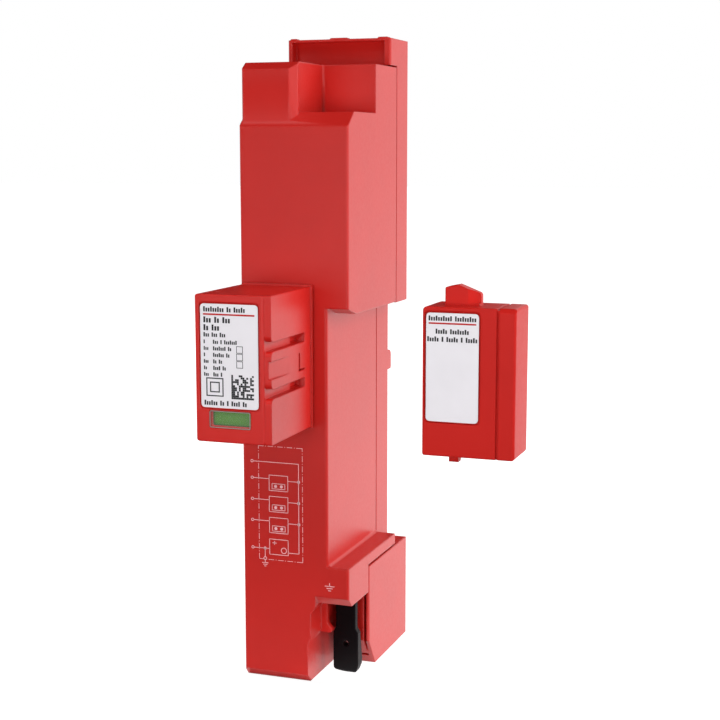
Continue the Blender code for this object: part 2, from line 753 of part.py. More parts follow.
# Contact claws, one over each bar, bent from sheet with a lead-in at the tip
TAB_FRONT = FRONT_DEPTH + TAB_BEHIND
TIP_FLARE = 1.2 * MM
TIP_SHEET = 0.9 * MM
lip_front = DEPTH + BAR_DEPTH + BAR_CLEARANCE
lip_back = lip_front + CLAW_SHEET
lip_low = neck_low - CLAW_REACH
outer_bend = CLAW_BEND + CLAW_SHEET
for name, z in BAR_Z.items():
    prism(
        f"claw_{name}",
        "X",
        filleted(
            (TAB_FRONT, neck_high - TAB_LENGTH),
            (TAB_FRONT + CLAW_SHEET, neck_high - TAB_LENGTH),
            (TAB_FRONT + CLAW_SHEET, neck_low, CLAW_BEND),
            (lip_front, neck_low, CLAW_BEND),
            (lip_front, lip_low),
            (lip_back + TIP_FLARE, lip_low - TIP_FLARE),
            (lip_back + TIP_FLARE + TIP_SHEET, lip_low - TIP_FLARE + TIP_SHEET),
            (lip_back, lip_low + CLAW_SHEET),
            (lip_back, neck_high, outer_bend),
            (TAB_FRONT, neck_high, outer_bend),
        ),
        claw_x,
        COPPER,
        at=(0.0, 0.0, z),
    )

# Bent straps from the claws to the rear ends of the spark gaps
STRAP_LOW = -5.0 * MM
STRAP_HIGH = 5.2 * MM
GAP_REAR = FRONT_DEPTH - GAP_BEHIND
GAP_FRONT = GAP_REAR - GAP_LENGTH
strap_front = GAP_REAR + PIECE_GAP
strap_back = TAB_FRONT - PIECE_GAP
strap_bend = RAIL_SHEET + 0.3 * MM
for name in ("l1", "l2", "l3", "pe"):
    prism(
        "earth_strap" if name == "pe" else f"phase_strap_{name}",
        "X",
        filleted(
            (strap_front, STRAP_LOW),
            (strap_front + RAIL_SHEET, STRAP_LOW),
            (strap_front + RAIL_SHEET, STRAP_HIGH - RAIL_SHEET),
            (strap_back - RAIL_SHEET, STRAP_HIGH - RAIL_SHEET),
            (strap_back - RAIL_SHEET, STRAP_LOW),
            (strap_back, STRAP_LOW),
            (strap_back, STRAP_HIGH, strap_bend),
            (strap_front, STRAP_HIGH, strap_bend),
        ),
        (GAP_X - STRAP_WIDTH / 2, GAP_X + STRAP_WIDTH / 2),
        COPPER,
        at=(0.0, 0.0, BAR_Z[name]),
    )


# Spark gaps, turned round a lying axis from a half profile with a stud, a cap and a barrel
def spark_gap(name, radius, at):
    cap = radius * 0.72
    stud_length = 3.2 * MM
    cap_length = 1.4 * MM
    shoulder = 0.8 * MM
    end = [
        (0.0, 0.0),
        (GAP_STUD, 0.0),
        (GAP_STUD, stud_length),
        (cap, stud_length),
        (cap, stud_length + cap_length),
        (radius, stud_length + cap_length + shoulder),
    ]
    profile = [(x, GAP_LENGTH - y) for x, y in end] + end[::-1]
    mesh = bpy.data.meshes.new(name)
    mesh.from_pydata([(x, 0.0, z) for x, z in profile], [(k, k + 1) for k in range(len(profile) - 1)], [])
    gap = place(name, mesh, CERAMIC)
    turn = gap.modifiers.new("turned", "SCREW")
    turn.axis = "Z"
    turn.steps = turn.render_steps = 22
    turn.use_merge_vertices = True
    turn.merge_threshold = 0.00005
    turn.use_normal_calculate = True
    turn.use_smooth_shade = True
    gap.rotation_euler = (math.radians(-90), 0.0, 0.0)
    gap.location = at
    return gap


gap_radius = LOWER_WIDTH / 2 - WALL - PIECE_GAP
for name in ("l1", "l2", "l3"):
    spark_gap(f"spark_gap_{name}", gap_radius, (GAP_X, GAP_FRONT, BAR_Z[name]))
spark_gap("spark_gap_npe", gap_radius - EARTH_GAP_LESS, (GAP_X, GAP_FRONT, BAR_Z["pe"]))

# Neutral rail, which joins the front ends of the four gaps and climbs to the top claw
rail_back = GAP_FRONT - PIECE_GAP
rail_front = rail_back - RAIL_SHEET
rail_low = BAR_Z["pe"] - TAB_LENGTH / 2
rail_top = BAR_Z["n"] - PIECE_GAP
tab_low = BAR_Z["n"] + STRAP_LOW
prism(
    "neutral_rail",
    "X",
    filleted(
        (rail_front, rail_low),
        (rail_back, rail_low),
        (rail_back, rail_top - RAIL_SHEET),
        (strap_back - RAIL_SHEET, rail_top - RAIL_SHEET),
        (strap_back - RAIL_SHEET, tab_low),
        (strap_back, tab_low),
        (strap_back, rail_top, strap_bend),
        (rail_front, rail_top, strap_bend),
    ),
    (GAP_X - RAIL_WIDTH / 2, GAP_X + RAIL_WIDTH / 2),
    COPPER,
)

# Trigger board and its components, on the right wall of the wide upper box
BOARD_SHEET = 1.6 * MM
BOARD_INSET = 3.5 * MM
board_x = (WIDTH - WALL - PIECE_GAP - BOARD_SHEET, WIDTH - WALL - PIECE_GAP)
board_y = (chamfer_depth + WALL, FRONT_DEPTH - BOARD_INSET)
board_z = (BOX_LOW + slope_rise + WALL + BOARD_INSET, LEDGE - chamfer_rise - WALL - PIECE_GAP)
block("trigger_board", board_x, board_y, board_z, BOARD)
part_right = board_x[0] - PIECE_GAP
board_middle = (board_y[0] + board_y[1]) / 2
part_top = board_z[1] - BOARD_INSET
TRANSFORMER_SIZE = (10.2 * MM, 14.5 * MM)
CAPACITOR_SIZE = (9.4 * MM, 11.0 * MM)
block(
    "trigger_transformer",
    (part_right - TRANSFORMER_SIZE[0], part_right),
    (board_y[0] + BOARD_INSET, board_middle - OVERLAP),
    (part_top - TRANSFORMER_SIZE[1], part_top),
    DARK,
)
block(
    "trigger_capacitor",
    (part_right - CAPACITOR_SIZE[0], part_right),
    (board_middle + OVERLAP, board_y[1] - BOARD_INSET),
    (part_top - CAPACITOR_SIZE[1], part_top),
    BLUE,
)
VARISTOR_RADIUS = 7.0 * MM
VARISTOR_SHEET = 4.2 * MM
varistor_at = (
    part_right,
    board_y[0] + BOARD_INSET + VARISTOR_RADIUS,
    board_z[0] + OVERLAP + VARISTOR_RADIUS,
)
smooth(rod("trigger_varistor", "X", VARISTOR_RADIUS, (-VARISTOR_SHEET, 0.0), BLUE, varistor_at))

# Head module: a core with rounded corners, a collar where it meets the housing, and a spigot that plugs in
rim_y = (-PIECE_GAP - RIM_THICKNESS, -PIECE_GAP - 0.2 * MM)
head = prism(
    "head_housing",
    "Y",
    rounded((0.0, HEAD_LOW), (HEAD_CORE, HEAD_HIGH), HEAD_CORNER),
    (HEAD_FRONT, -PIECE_GAP),
    RED,
)
pad_front = HEAD_FRONT + PAD_STEP
pad_x = (HEAD_CORE - OVERLAP, HEAD_WIDTH)
join(
    head,
    prism("rim", "Y", rounded((OVERLAP, HEAD_LOW - RIM), (HEAD_WIDTH + RIM, HEAD_HIGH + RIM), RIM), rim_y),
    block(
        "spigot",
        (SPIGOT_INSET + PIECE_GAP / 2, HEAD_CORE - SPIGOT_INSET),
        (-PIECE_GAP - OVERLAP, SPIGOT_REACH),
        (HEAD_LOW + SPIGOT_INSET, HEAD_HIGH - SPIGOT_INSET),
    ),
    block("side_band", pad_x, (GROOVE_END, rim_y[0] + PIECE_GAP), (HEAD_LOW, HEAD_HIGH)),
)

# Three pads on the right side, with round front corners. The grooves between them take the cover's rails.
pad_levels = [HEAD_LOW, *(level for low in GROOVES for level in (low, low + GROOVE_HEIGHT)), HEAD_HIGH]
for k, name in enumerate(("pad_low", "pad_middle", "pad_high")):
    low, high = pad_levels[2 * k : 2 * k + 2]
    low_corner = (pad_front, low, PAD_CORNER) if k else (pad_front, low)
    high_corner = (pad_front, high) if k == 2 else (pad_front, high, PAD_CORNER)
    join(
        head,
        prism(
            name,
            "X",
            filleted(low_corner, (GROOVE_END + OVERLAP, low), (GROOVE_END + OVERLAP, high), high_corner),
            pad_x,
        ),
    )

# Its rooms, the label and window seats, and in the side a tongue with a ramp and the latch window
label_low = HEAD_HIGH - LABEL_BELOW - LABEL_SIZE[1]
label_x = (HEAD_MIDDLE - LABEL_SIZE[0] / 2, HEAD_MIDDLE + LABEL_SIZE[0] / 2)
window_x = (HEAD_MIDDLE - WINDOW_SIZE[0] / 2, HEAD_MIDDLE + WINDOW_SIZE[0] / 2)
window_z = (HEAD_LOW + WINDOW_RISE, HEAD_LOW + WINDOW_RISE + WINDOW_SIZE[1])
tongue = (GROOVES[0] + GROOVE_HEIGHT + 3.0 * MM, GROOVES[1] - 2.9 * MM)
latch = (tongue[0] - 0.5 * MM, tongue[1] - 0.2 * MM)
LATCH_FRONT = -11.2 * MM
LATCH_LENGTH = 5.0 * MM
LATCH_SLIT = 1.0 * MM
LATCH_DEPTH = 2.8 * MM
slit_y = (LATCH_FRONT, LATCH_FRONT + LATCH_SLIT)
RAMP_LENGTH = 15.0 * MM
RAMP_DEPTH = 1.0 * MM


def grown(x, z, margin, radius):
    return rounded((x[0] - margin, z[0] - margin), (x[1] + margin, z[1] + margin), radius)


head_tall = (HEAD_LOW - OVERLAP, HEAD_HIGH + OVERLAP)
window_hole_y = (HEAD_FRONT - OVERLAP, HEAD_FRONT + HEAD_WALL + OVERLAP)
cut(
    head,
    edge_rounder("head_left_edge", "Z", (0.0, HEAD_FRONT), (-1, -1), head_tall, 0.5 * MM),
    edge_rounder("head_right_edge", "Z", (HEAD_CORE, HEAD_FRONT), (1, -1), head_tall, 0.5 * MM),
    block(
        "head_room",
        (HEAD_WALL, HEAD_CORE - HEAD_WALL),
        (HEAD_FRONT + HEAD_WALL, -2.6 * MM),
        (HEAD_LOW + HEAD_WALL, HEAD_HIGH - HEAD_WALL),
    ),
    block(
        "spigot_room",
        (SPIGOT_INSET + SPIGOT_WALL, HEAD_CORE - SPIGOT_INSET - SPIGOT_WALL),
        (GROOVE_END, SPIGOT_REACH + OVERLAP),
        (HEAD_LOW + SPIGOT_INSET + SPIGOT_WALL, HEAD_HIGH - SPIGOT_INSET - SPIGOT_WALL),
    ),
    prism(
        "tongue_ramp",
        "Z",
        [
            (HEAD_WIDTH - RAMP_DEPTH, HEAD_FRONT - OVERLAP),
            (HEAD_WIDTH + OVERLAP, HEAD_FRONT - OVERLAP),
            (HEAD_WIDTH + OVERLAP, HEAD_FRONT + RAMP_LENGTH),
            (HEAD_WIDTH, HEAD_FRONT + RAMP_LENGTH),
        ],
        tongue,
    ),
    block("latch_slit", (HEAD_WIDTH - LATCH_DEPTH, HEAD_WIDTH + OVERLAP), slit_y, latch),
    block(
        "latch_foot",
        (HEAD_WIDTH - LATCH_DEPTH / 2, HEAD_WIDTH + OVERLAP),
        (slit_y[1] - LATCH_SLIT / 2, slit_y[0] + LATCH_LENGTH),
        (latch[0], latch[0] + LATCH_SLIT / 2),
    ),
    prism(
        "label_recess",
        "Y",
        grown(label_x, (label_low, label_low + LABEL_SIZE[1]), PIECE_GAP, LABEL_CORNER + 0.1 * MM),
        (HEAD_FRONT - OVERLAP, HEAD_FRONT + LABEL_RECESS),
    ),
    prism("window_hole", "Y", grown(window_x, window_z, 0.0, 0.5 * MM), window_hole_y),
    prism(
        "window_seat",
        "Y",
        grown(window_x, window_z, BEZEL, BEZEL),
        (HEAD_FRONT - OVERLAP, HEAD_FRONT + WINDOW_INSET + WINDOW_SHEET + PIECE_GAP),
    ),
)
for k, low in enumerate(GROOVES):
    cut(
        head,
        block(
            f"catch_{k}",
            (HEAD_CORE - CATCH_DEPTH, HEAD_WIDTH + OVERLAP),
            (GROOVE_END - CATCH_LENGTH, GROOVE_END),
            (low + 0.2 * MM, low + GROOVE_HEIGHT - 0.2 * MM),
        ),
    )
prism(
    "status_window",
    "Y",
    grown(window_x, window_z, BEZEL - PIECE_GAP, BEZEL / 2),
    (HEAD_FRONT + WINDOW_INSET, HEAD_FRONT + WINDOW_INSET + WINDOW_SHEET),
    CLEAR,
)
prism(
    "rating_label",
    "Y",
    grown(label_x, (label_low, label_low + LABEL_SIZE[1]), 0.0, LABEL_CORNER),
    (HEAD_FRONT, HEAD_FRONT + LABEL_SHEET),
    LABEL,
)

# Status flag, part of a drum that turns behind the window. Its upper half comes down after a trip.
FLAG_SPAN = (86, 216)
flag_inner = FLAG_RADIUS - FLAG_SHEET
flag_centre = (HEAD_MIDDLE, HEAD_FRONT + FLAG_BEHIND, (window_z[0] + window_z[1]) / 2)
flag_half = FLAG_WIDTH / 2
FLAG_STEPS = 13
flag_ring = [
    *arc((0.0, 0.0), FLAG_RADIUS, *FLAG_SPAN, FLAG_STEPS),
    *arc((0.0, 0.0), flag_inner, *FLAG_SPAN[::-1], FLAG_STEPS),
]
flag = prism("status_flag", "X", flag_ring, (-flag_half, flag_half), FLAG, at=flag_centre)
HUB_RADIUS = 2.2 * MM
HUB_SHEET = 1.4 * MM
for arm_x, name in (
    ((-flag_half, HUB_SHEET - flag_half), "flag_arm_left"),
    ((flag_half - HUB_SHEET, flag_half), "flag_arm_right"),
):
    arm = prism(
        name,
        "X",
        [(0.0, -HUB_RADIUS + OVERLAP / 3), *arc((0.0, 0.0), flag_inner + OVERLAP / 2, 206, 102, 4)],
        arm_x,
        at=flag_centre,
    )
    join(flag, arm, rod(name + "_hub", "X", HUB_RADIUS, arm_x, at=flag_centre, sides=16))
bore_x = (-flag_half - OVERLAP, flag_half + OVERLAP)
cut(flag, rod("flag_bore", "X", AXLE_RADIUS + AXLE_CLEARANCE, bore_x, at=flag_centre, sides=16))
axle_half = HEAD_MIDDLE - HEAD_WALL - PIECE_GAP
smooth(rod("flag_axle", "X", AXLE_RADIUS, (-axle_half, axle_half), STEEL, flag_centre, 14))

# Monitoring parts behind the flag: a trip block, a board above it and its module
MONITOR_SHEET = 1.4 * MM
MONITOR_RISE = 14.9 * MM
MONITOR_HEIGHT = 10.7 * MM
monitor_low = HEAD_LOW + MONITOR_RISE
monitor_x = (HEAD_WALL + 0.8 * MM, HEAD_CORE - HEAD_WALL - 0.8 * MM)
monitor_y = (HEAD_FRONT + 5.6 * MM, -4.0 * MM)
trip_front = HEAD_FRONT + FLAG_BEHIND + FLAG_RADIUS + 2.6 * MM
block(
    "thermal_trip",
    (HEAD_MIDDLE - 4.0 * MM, HEAD_MIDDLE + 4.0 * MM),
    (trip_front, trip_front + 8.6 * MM),
    (HEAD_LOW + 4.3 * MM, monitor_low - PIECE_GAP),
    DARK,
)
block("monitor_board", monitor_x, monitor_y, (monitor_low, monitor_low + MONITOR_SHEET), BOARD)
module_low = monitor_low + MONITOR_SHEET + PIECE_GAP
block(
    "monitor_module",
    (monitor_x[0] + HEAD_WALL, monitor_x[1] - HEAD_WALL),
    (monitor_y[0] + 2.0 * MM, monitor_y[1] - 4.0 * MM),
    (module_low, module_low + MONITOR_HEIGHT),
    DARK,
)

# Locking slide: a strap with a shoulder, a paddle below it, and an arm with a hook under the lowest bar
sx0, sx1 = SLIDE_X
slide_back = SLIDE_FRONT + SLIDE_SHEET
shoulder_low = FOOT_UNDER + FOOT_FLOOR + SLIDE_TRAVEL + 0.2 * MM
SHOULDER = (1.6 * MM, 2.4 * MM)
slide = prism(
    "locking_slide",
    "Y",
    [
        (sx0, ARM_LOW - OVERLAP),
        (sx1, ARM_LOW - OVERLAP),
        (sx1, shoulder_low + SHOULDER[1]),
        (sx0 - SHOULDER[0], shoulder_low + SHOULDER[1]),
        (sx0 - SHOULDER[0], shoulder_low),
        (sx0, shoulder_low),
    ],
    (SLIDE_FRONT, slide_back),
    BLACK,
)
paddle_top = SLIDE_TIP + PADDLE_LENGTH
neck_z = paddle_top + 1.6 * MM
paddle_side = prism(
    "paddle_side",
    "X",
    filleted(
        (SLIDE_FRONT, neck_z),
        (SLIDE_FRONT, SLIDE_TIP, PADDLE_CORNER),
        (SLIDE_FRONT + PADDLE_DEPTH - PADDLE_SIDE, SLIDE_TIP, PADDLE_SIDE),
        (SLIDE_FRONT + PADDLE_DEPTH, SLIDE_TIP + PADDLE_DEPTH, PADDLE_CORNER),
        (slide_back + OVERLAP / 4, paddle_top - OVERLAP),
        (slide_back + OVERLAP / 4, neck_z),
    ),
    (sx0 - 2 * OVERLAP, sx1 + 2 * OVERLAP),
)
paddle_x = (sx0 - PADDLE_SIDE, sx1 + PADDLE_SIDE)
paddle = prism(
    "paddle",
    "Y",
    filleted(
        (paddle_x[0], paddle_top),
        (paddle_x[0], SLIDE_TIP + PADDLE_SIDE, PADDLE_CORNER),
        (SLIDE_MIDDLE, SLIDE_TIP, 2 * PADDLE_CORNER),
        (sx1, SLIDE_TIP, PADDLE_CORNER),
        (paddle_x[1], SLIDE_TIP + 2 * PADDLE_CORNER, PADDLE_CORNER),
        (paddle_x[1], paddle_top),
        (sx1, neck_z),
        (sx0, neck_z),
    ),
    (SLIDE_FRONT - OVERLAP, SLIDE_FRONT + 2 * PADDLE_DEPTH),
)
combine(paddle, "INTERSECT", [paddle_side])
arm = block("slide_arm", ARM_X, (SLIDE_FRONT + OVERLAP, FRONT_DEPTH + OVERLAP / 2), (ARM_LOW, ARM_HIGH))
hook_front = lip_front + PIECE_GAP
hook_back = hook_front + HOOK_SHEET
tail = prism(
    "slide_tail",
    "X",
    filleted(
        (FRONT_DEPTH - OVERLAP, ARM_LOW),
        (hook_back, ARM_LOW, 1.6 * MM),
        (hook_back, HOOK_TOP - 2 * OVERLAP),
        (hook_front + HOOK_SHEET / 2, HOOK_TOP),
        (hook_front, HOOK_TOP),
        (hook_front, ARM_HIGH, 0.8 * MM),
        (FRONT_DEPTH - OVERLAP, ARM_HIGH),
    ),
    (ARM_X[0], ARM_X[0] + 2.8 * MM),
)
join(slide, paddle, arm, tail)
hole_at = (SLIDE_MIDDLE, slide_back, paddle_top - HOLE_BELOW)
cut(slide, rod("slide_hole", "Y", SLIDE_HOLE, (-PADDLE_DEPTH, PADDLE_DEPTH), at=hole_at, sides=14))

# Slide spring under the arm, a round coil between the floor of the housing and the arm
COIL_STEPS = 12
spring_at = ((ARM_X[0] + ARM_X[1]) / 2, FRONT_DEPTH - 6.5 * MM, WALL + PIECE_GAP + SPRING_WIRE)
spring_height = ARM_LOW - PIECE_GAP - SPRING_WIRE - spring_at[2]
coil = bpy.data.curves.new("slide_spring", "CURVE")
coil.dimensions = "3D"
coil.bevel_depth = SPRING_WIRE
coil.bevel_resolution = 2
coil.use_fill_caps = True
line = coil.splines.new("POLY")
line.points.add(SPRING_TURNS * COIL_STEPS)
for k, point in enumerate(line.points):
    turn = 2 * math.pi * k / COIL_STEPS
    rise = spring_height * k / (SPRING_TURNS * COIL_STEPS)
    point.co = (SPRING_RADIUS * math.cos(turn), SPRING_RADIUS * math.sin(turn), rise, 1.0)
coil.materials.append(STEEL)
spring = bpy.data.objects.new("slide_spring", coil)
PART.objects.link(spring)
spring.parent = stand
spring.location = spring_at

# Marking cover: an open shell with a strip along its right edge, a hook above, a tab below and two rails
COVER_AT = (COVER_LEFT, 0.0, 0.0)
STRIP_GROOVE = 0.6 * MM
STRIP_DROP = 1.4 * MM
strip_left = COVER_WIDTH - COVER_STRIP
cover = prism(
    "marking_cover",
    "Y",
    filleted(
        (0.0, COVER_LOW, EDGE_RADIUS),
        (COVER_WIDTH, COVER_LOW, EDGE_RADIUS),
        (COVER_WIDTH, COVER_HIGH, EDGE_RADIUS),
        (0.0, COVER_HIGH, 1.4 * MM),
    ),
    (HEAD_FRONT, COVER_BACK),
    RED,
    at=COVER_AT,
)


def cover_block(name, x, y, z):
    return block(name, x, y, z, at=COVER_AT)


def cover_rail(name, low):
    """A rail on the left side of the cover, with a hook that drops into the catch of the head."""
    hook_y = (GROOVE_END - CATCH_LENGTH + RAIL_CLEARANCE, GROOVE_END - RAIL_CLEARANCE)
    return prism(
        name,
        "Z",
        [
            (OVERLAP, HEAD_FRONT + 6 * MM),
            (OVERLAP - RAIL_DEPTH, HEAD_FRONT + 6 * MM),
            (-RAIL_DEPTH, HEAD_FRONT + 7 * MM),
            (-RAIL_DEPTH, hook_y[0]),
            (-RAIL_DEPTH - OVERLAP, hook_y[0] + OVERLAP),
            (-RAIL_DEPTH - OVERLAP, hook_y[1] - 0.6 * MM),
            (0.0, hook_y[1]),
            (OVERLAP, hook_y[1]),
        ],
        (low + RAIL_CLEARANCE, low + GROOVE_HEIGHT - RAIL_CLEARANCE),
        at=COVER_AT,
    )


cover_label_low = COVER_LOW + 9.8 * MM
cover_label_x = (1.1 * MM, 1.1 * MM + COVER_LABEL_SIZE[0])
cover_label_z = (cover_label_low, cover_label_low + COVER_LABEL_SIZE[1])
cover_tall = (COVER_LOW - OVERLAP, COVER_HIGH + OVERLAP)
cut(
    cover,
    cover_block(
        "cover_room",
        (COVER_WALL, COVER_WIDTH - COVER_WALL),
        (HEAD_FRONT + COVER_WALL, COVER_BACK + OVERLAP),
        (COVER_LOW + COVER_WALL, COVER_HIGH - COVER_WALL),
    ),
    cover_block(
        "cover_groove",
        (strip_left, strip_left + STRIP_GROOVE),
        (HEAD_FRONT - OVERLAP, HEAD_FRONT + STRIP_GROOVE),
        (COVER_LOW - OVERLAP, COVER_HIGH + OVERLAP),
    ),
    prism(
        "strip_top",
        "X",
        [
            (HEAD_FRONT - OVERLAP, COVER_HIGH - STRIP_DROP - 0.5 * MM),
            (HEAD_FRONT + COVER_WALL - 0.3 * MM, COVER_HIGH - 0.2 * MM),
            (HEAD_FRONT + COVER_WALL - 0.3 * MM, COVER_HIGH + OVERLAP),
            (HEAD_FRONT - OVERLAP, COVER_HIGH + OVERLAP),
        ],
        (strip_left + STRIP_GROOVE / 2, COVER_WIDTH + OVERLAP),
        at=COVER_AT,
    ),
    edge_rounder("strip_edge", "Z", (COVER_WIDTH, HEAD_FRONT), (1, -1), cover_tall, at=COVER_AT),
    edge_rounder("cover_left_edge", "Z", (0.0, HEAD_FRONT), (-1, -1), cover_tall, 0.6 * MM, COVER_AT),
    cover_block(
        "top_groove",
        (strip_left, strip_left + STRIP_GROOVE),
        (HEAD_FRONT, COVER_BACK + 2 * OVERLAP),
        (COVER_HIGH - STRIP_GROOVE, COVER_HIGH + 2 * OVERLAP),
    ),
    prism(
        "cover_label_recess",
        "Y",
        grown(cover_label_x, cover_label_z, PIECE_GAP, LABEL_CORNER + 0.1 * MM),
        (HEAD_FRONT - OVERLAP, HEAD_FRONT + LABEL_RECESS),
        at=COVER_AT,
    ),
)

# The hook on top has an upright face on the left and runs down to a blunt nose on the right
HOOK_X = (5.1 * MM, 15.0 * MM)
HOOK_RISE = 5.8 * MM
HOOK_Y = (HEAD_FRONT + 5 * MM, HEAD_FRONT + 9 * MM)
hook = prism(
    "cover_hook",
    "Y",
    filleted(
        (HOOK_X[0], COVER_HIGH - OVERLAP),
        (HOOK_X[1], COVER_HIGH - OVERLAP),
        (HOOK_X[1], COVER_HIGH + 3.4 * MM, 1.0 * MM),
        (HOOK_X[0] + 3.7 * MM, COVER_HIGH + HOOK_RISE, 0.5 * MM),
        (HOOK_X[0], COVER_HIGH + HOOK_RISE - 0.8 * MM, 0.5 * MM),
    ),
    HOOK_Y,
    at=COVER_AT,
)
cut(
    hook,
    prism(
        "hook_hollow",
        "Z",
        [
            (HOOK_X[0] + 5.2 * MM, HOOK_Y[0] - OVERLAP),
            (HOOK_X[1] + OVERLAP, HOOK_Y[0] - OVERLAP),
            (HOOK_X[1] + OVERLAP, HOOK_Y[0] + 1.6 * MM),
            (HOOK_X[1] - 1.2 * MM, HOOK_Y[0] + 1.6 * MM),
        ],
        (COVER_HIGH + 0.6 * MM, COVER_HIGH + 2 * HOOK_RISE),
        at=COVER_AT,
    ),
)
TAB_X = (7.4 * MM, 10.1 * MM)
TAB_DROP = 1.9 * MM
tab = prism(
    "cover_tab",
    "X",
    filleted(
        (HEAD_FRONT + 2 * MM, COVER_LOW + OVERLAP),
        (HEAD_FRONT + 2 * MM, COVER_LOW - TAB_DROP, 0.6 * MM),
        (HEAD_FRONT + 5 * MM, COVER_LOW - TAB_DROP, 0.6 * MM),
        (HEAD_FRONT + 6 * MM, COVER_LOW + OVERLAP),
    ),
    TAB_X,
    at=COVER_AT,
)
rail_wall = cover_block(
    "rail_wall",
    (0.0, COVER_WALL),
    (COVER_BACK - 2 * OVERLAP, GROOVE_END - RAIL_CLEARANCE),
    (GROOVES[0] - OVERLAP, GROOVES[1] + GROOVE_HEIGHT + OVERLAP),
)
join(cover, hook, tab, rail_wall, cover_rail("rail_low", GROOVES[0]), cover_rail("rail_high", GROOVES[1]))
prism(
    "cover_label",
    "Y",
    grown(cover_label_x, cover_label_z, 0.0, LABEL_CORNER),
    (HEAD_FRONT, HEAD_FRONT + LABEL_SHEET),
    LABEL,
    at=COVER_AT,
)
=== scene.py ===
"""Dresses the busbar surge arrester: moulded red housings, printed film labels, a status window, a black
locking slide and copper claws, on a white floor. Sizes are in metres. X runs to the right, Y back, Z up.
"""

import json
import math

import bmesh
import bpy
from mathutils import Matrix, Vector


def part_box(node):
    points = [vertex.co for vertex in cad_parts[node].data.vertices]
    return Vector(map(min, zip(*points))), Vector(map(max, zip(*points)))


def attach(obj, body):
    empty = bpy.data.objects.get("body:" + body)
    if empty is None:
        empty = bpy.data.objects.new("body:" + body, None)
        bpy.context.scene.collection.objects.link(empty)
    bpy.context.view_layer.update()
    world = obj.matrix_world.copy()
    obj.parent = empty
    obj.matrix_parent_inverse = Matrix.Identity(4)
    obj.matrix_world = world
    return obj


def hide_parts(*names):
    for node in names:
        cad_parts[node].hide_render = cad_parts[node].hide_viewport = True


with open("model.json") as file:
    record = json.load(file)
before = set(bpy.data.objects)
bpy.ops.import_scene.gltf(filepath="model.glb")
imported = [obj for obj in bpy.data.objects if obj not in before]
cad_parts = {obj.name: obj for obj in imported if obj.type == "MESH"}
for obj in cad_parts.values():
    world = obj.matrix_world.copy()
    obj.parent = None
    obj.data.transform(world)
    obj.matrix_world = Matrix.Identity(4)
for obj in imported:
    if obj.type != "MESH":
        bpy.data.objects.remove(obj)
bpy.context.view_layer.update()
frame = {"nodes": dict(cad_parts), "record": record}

MM = 0.001
NODES = frame["nodes"]
BODY_OF = {node: body for body, nodes in frame["record"]["behaviour"]["bodies"].items() for node in nodes}
PHASES = ("l1", "l2", "l3")

# Corners of the CAD nodes that the prints and fittings are placed from
FRONT_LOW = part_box("front_housing")[0]
HEAD_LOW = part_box("head_housing")[0]
LABEL_LOW, LABEL_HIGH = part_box("rating_label")
COVER_LABEL_LOW, COVER_LABEL_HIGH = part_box("cover_label")
FLAG_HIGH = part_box("status_flag")[1]
LEFT, FRONT = FRONT_LOW.x, FRONT_LOW.y


def clear_selection():
    if bpy.context.object and bpy.context.object.mode != "OBJECT":
        bpy.ops.object.mode_set(mode="OBJECT")
    bpy.ops.object.select_all(action="DESELECT")


def activate(obj):
    clear_selection()
    obj.select_set(True)
    bpy.context.view_layer.objects.active = obj


def turn_to_front(obj, x, y, z):
    """Stands up the new primitive that is selected, so that its top looks to the front, at a place."""
    obj.rotation_euler = (math.radians(90), 0.0, 0.0)
    obj.location = (x, y, z)
    bpy.ops.object.transform_apply(location=True, rotation=True, scale=True)


# Materials. Noise reads object coordinates, and its scale is the number of its features in a metre
NOISE_LOW, NOISE_HIGH = 0.3, 0.7


def add_node(tree, kind, **values):
    node = tree.nodes.new(kind)
    for key, value in values.items():
        if key in node.inputs:
            node.inputs[key].default_value = value
        else:
            setattr(node, key, value)
    return node


def calculate(tree, operation, first, second):
    """The result of a math node on a socket and either a number or another socket."""
    node = add_node(tree, "ShaderNodeMath", operation=operation)
    tree.links.new(first, node.inputs[0])
    if isinstance(second, float):
        node.inputs[1].default_value = second
    else:
        tree.links.new(second, node.inputs[1])
    return node.outputs["Value"]


def spread_value(tree, value, low, high, start=0.0, end=1.0):
    """Stretches a value that runs from start to end so that it runs from low to high."""
    spread = add_node(tree, "ShaderNodeMapRange")
    spread.inputs["From Min"].default_value = start
    spread.inputs["From Max"].default_value = end
    spread.inputs["To Min"].default_value = low
    spread.inputs["To Max"].default_value = high
    tree.links.new(value, spread.inputs["Value"])
    return spread.outputs["Result"]


def object_place(tree):
    return add_node(tree, "ShaderNodeTexCoord").outputs["Object"]


def object_noise(tree, scale, detail=2.0, roughness=0.5, stretch=(1.0, 1.0, 1.0)):
    mapping = add_node(tree, "ShaderNodeMapping", Scale=stretch)
    noise = add_node(tree, "ShaderNodeTexNoise", Scale=scale, Detail=detail, Roughness=roughness)
    tree.links.new(object_place(tree), mapping.inputs["Vector"])
    tree.links.new(mapping.outputs["Vector"], noise.inputs["Vector"])
    return noise.outputs["Fac"]


def new_material(name, color, roughness, **sockets):
    made = bpy.data.materials.new(name)
    made.use_nodes = True
    shader = made.node_tree.nodes["Principled BSDF"]
    shader.inputs["Base Color"].default_value = (*color, 1.0)
    shader.inputs["Roughness"].default_value = roughness
    for socket, value in sockets.items():
        shader.inputs[socket.replace("_", " ")].default_value = value
    return made, made.node_tree, shader


def toned(color, share):
    """The colour made darker, or lighter up to white, by a share."""
    return tuple(min(1.0, share * channel) for channel in color)


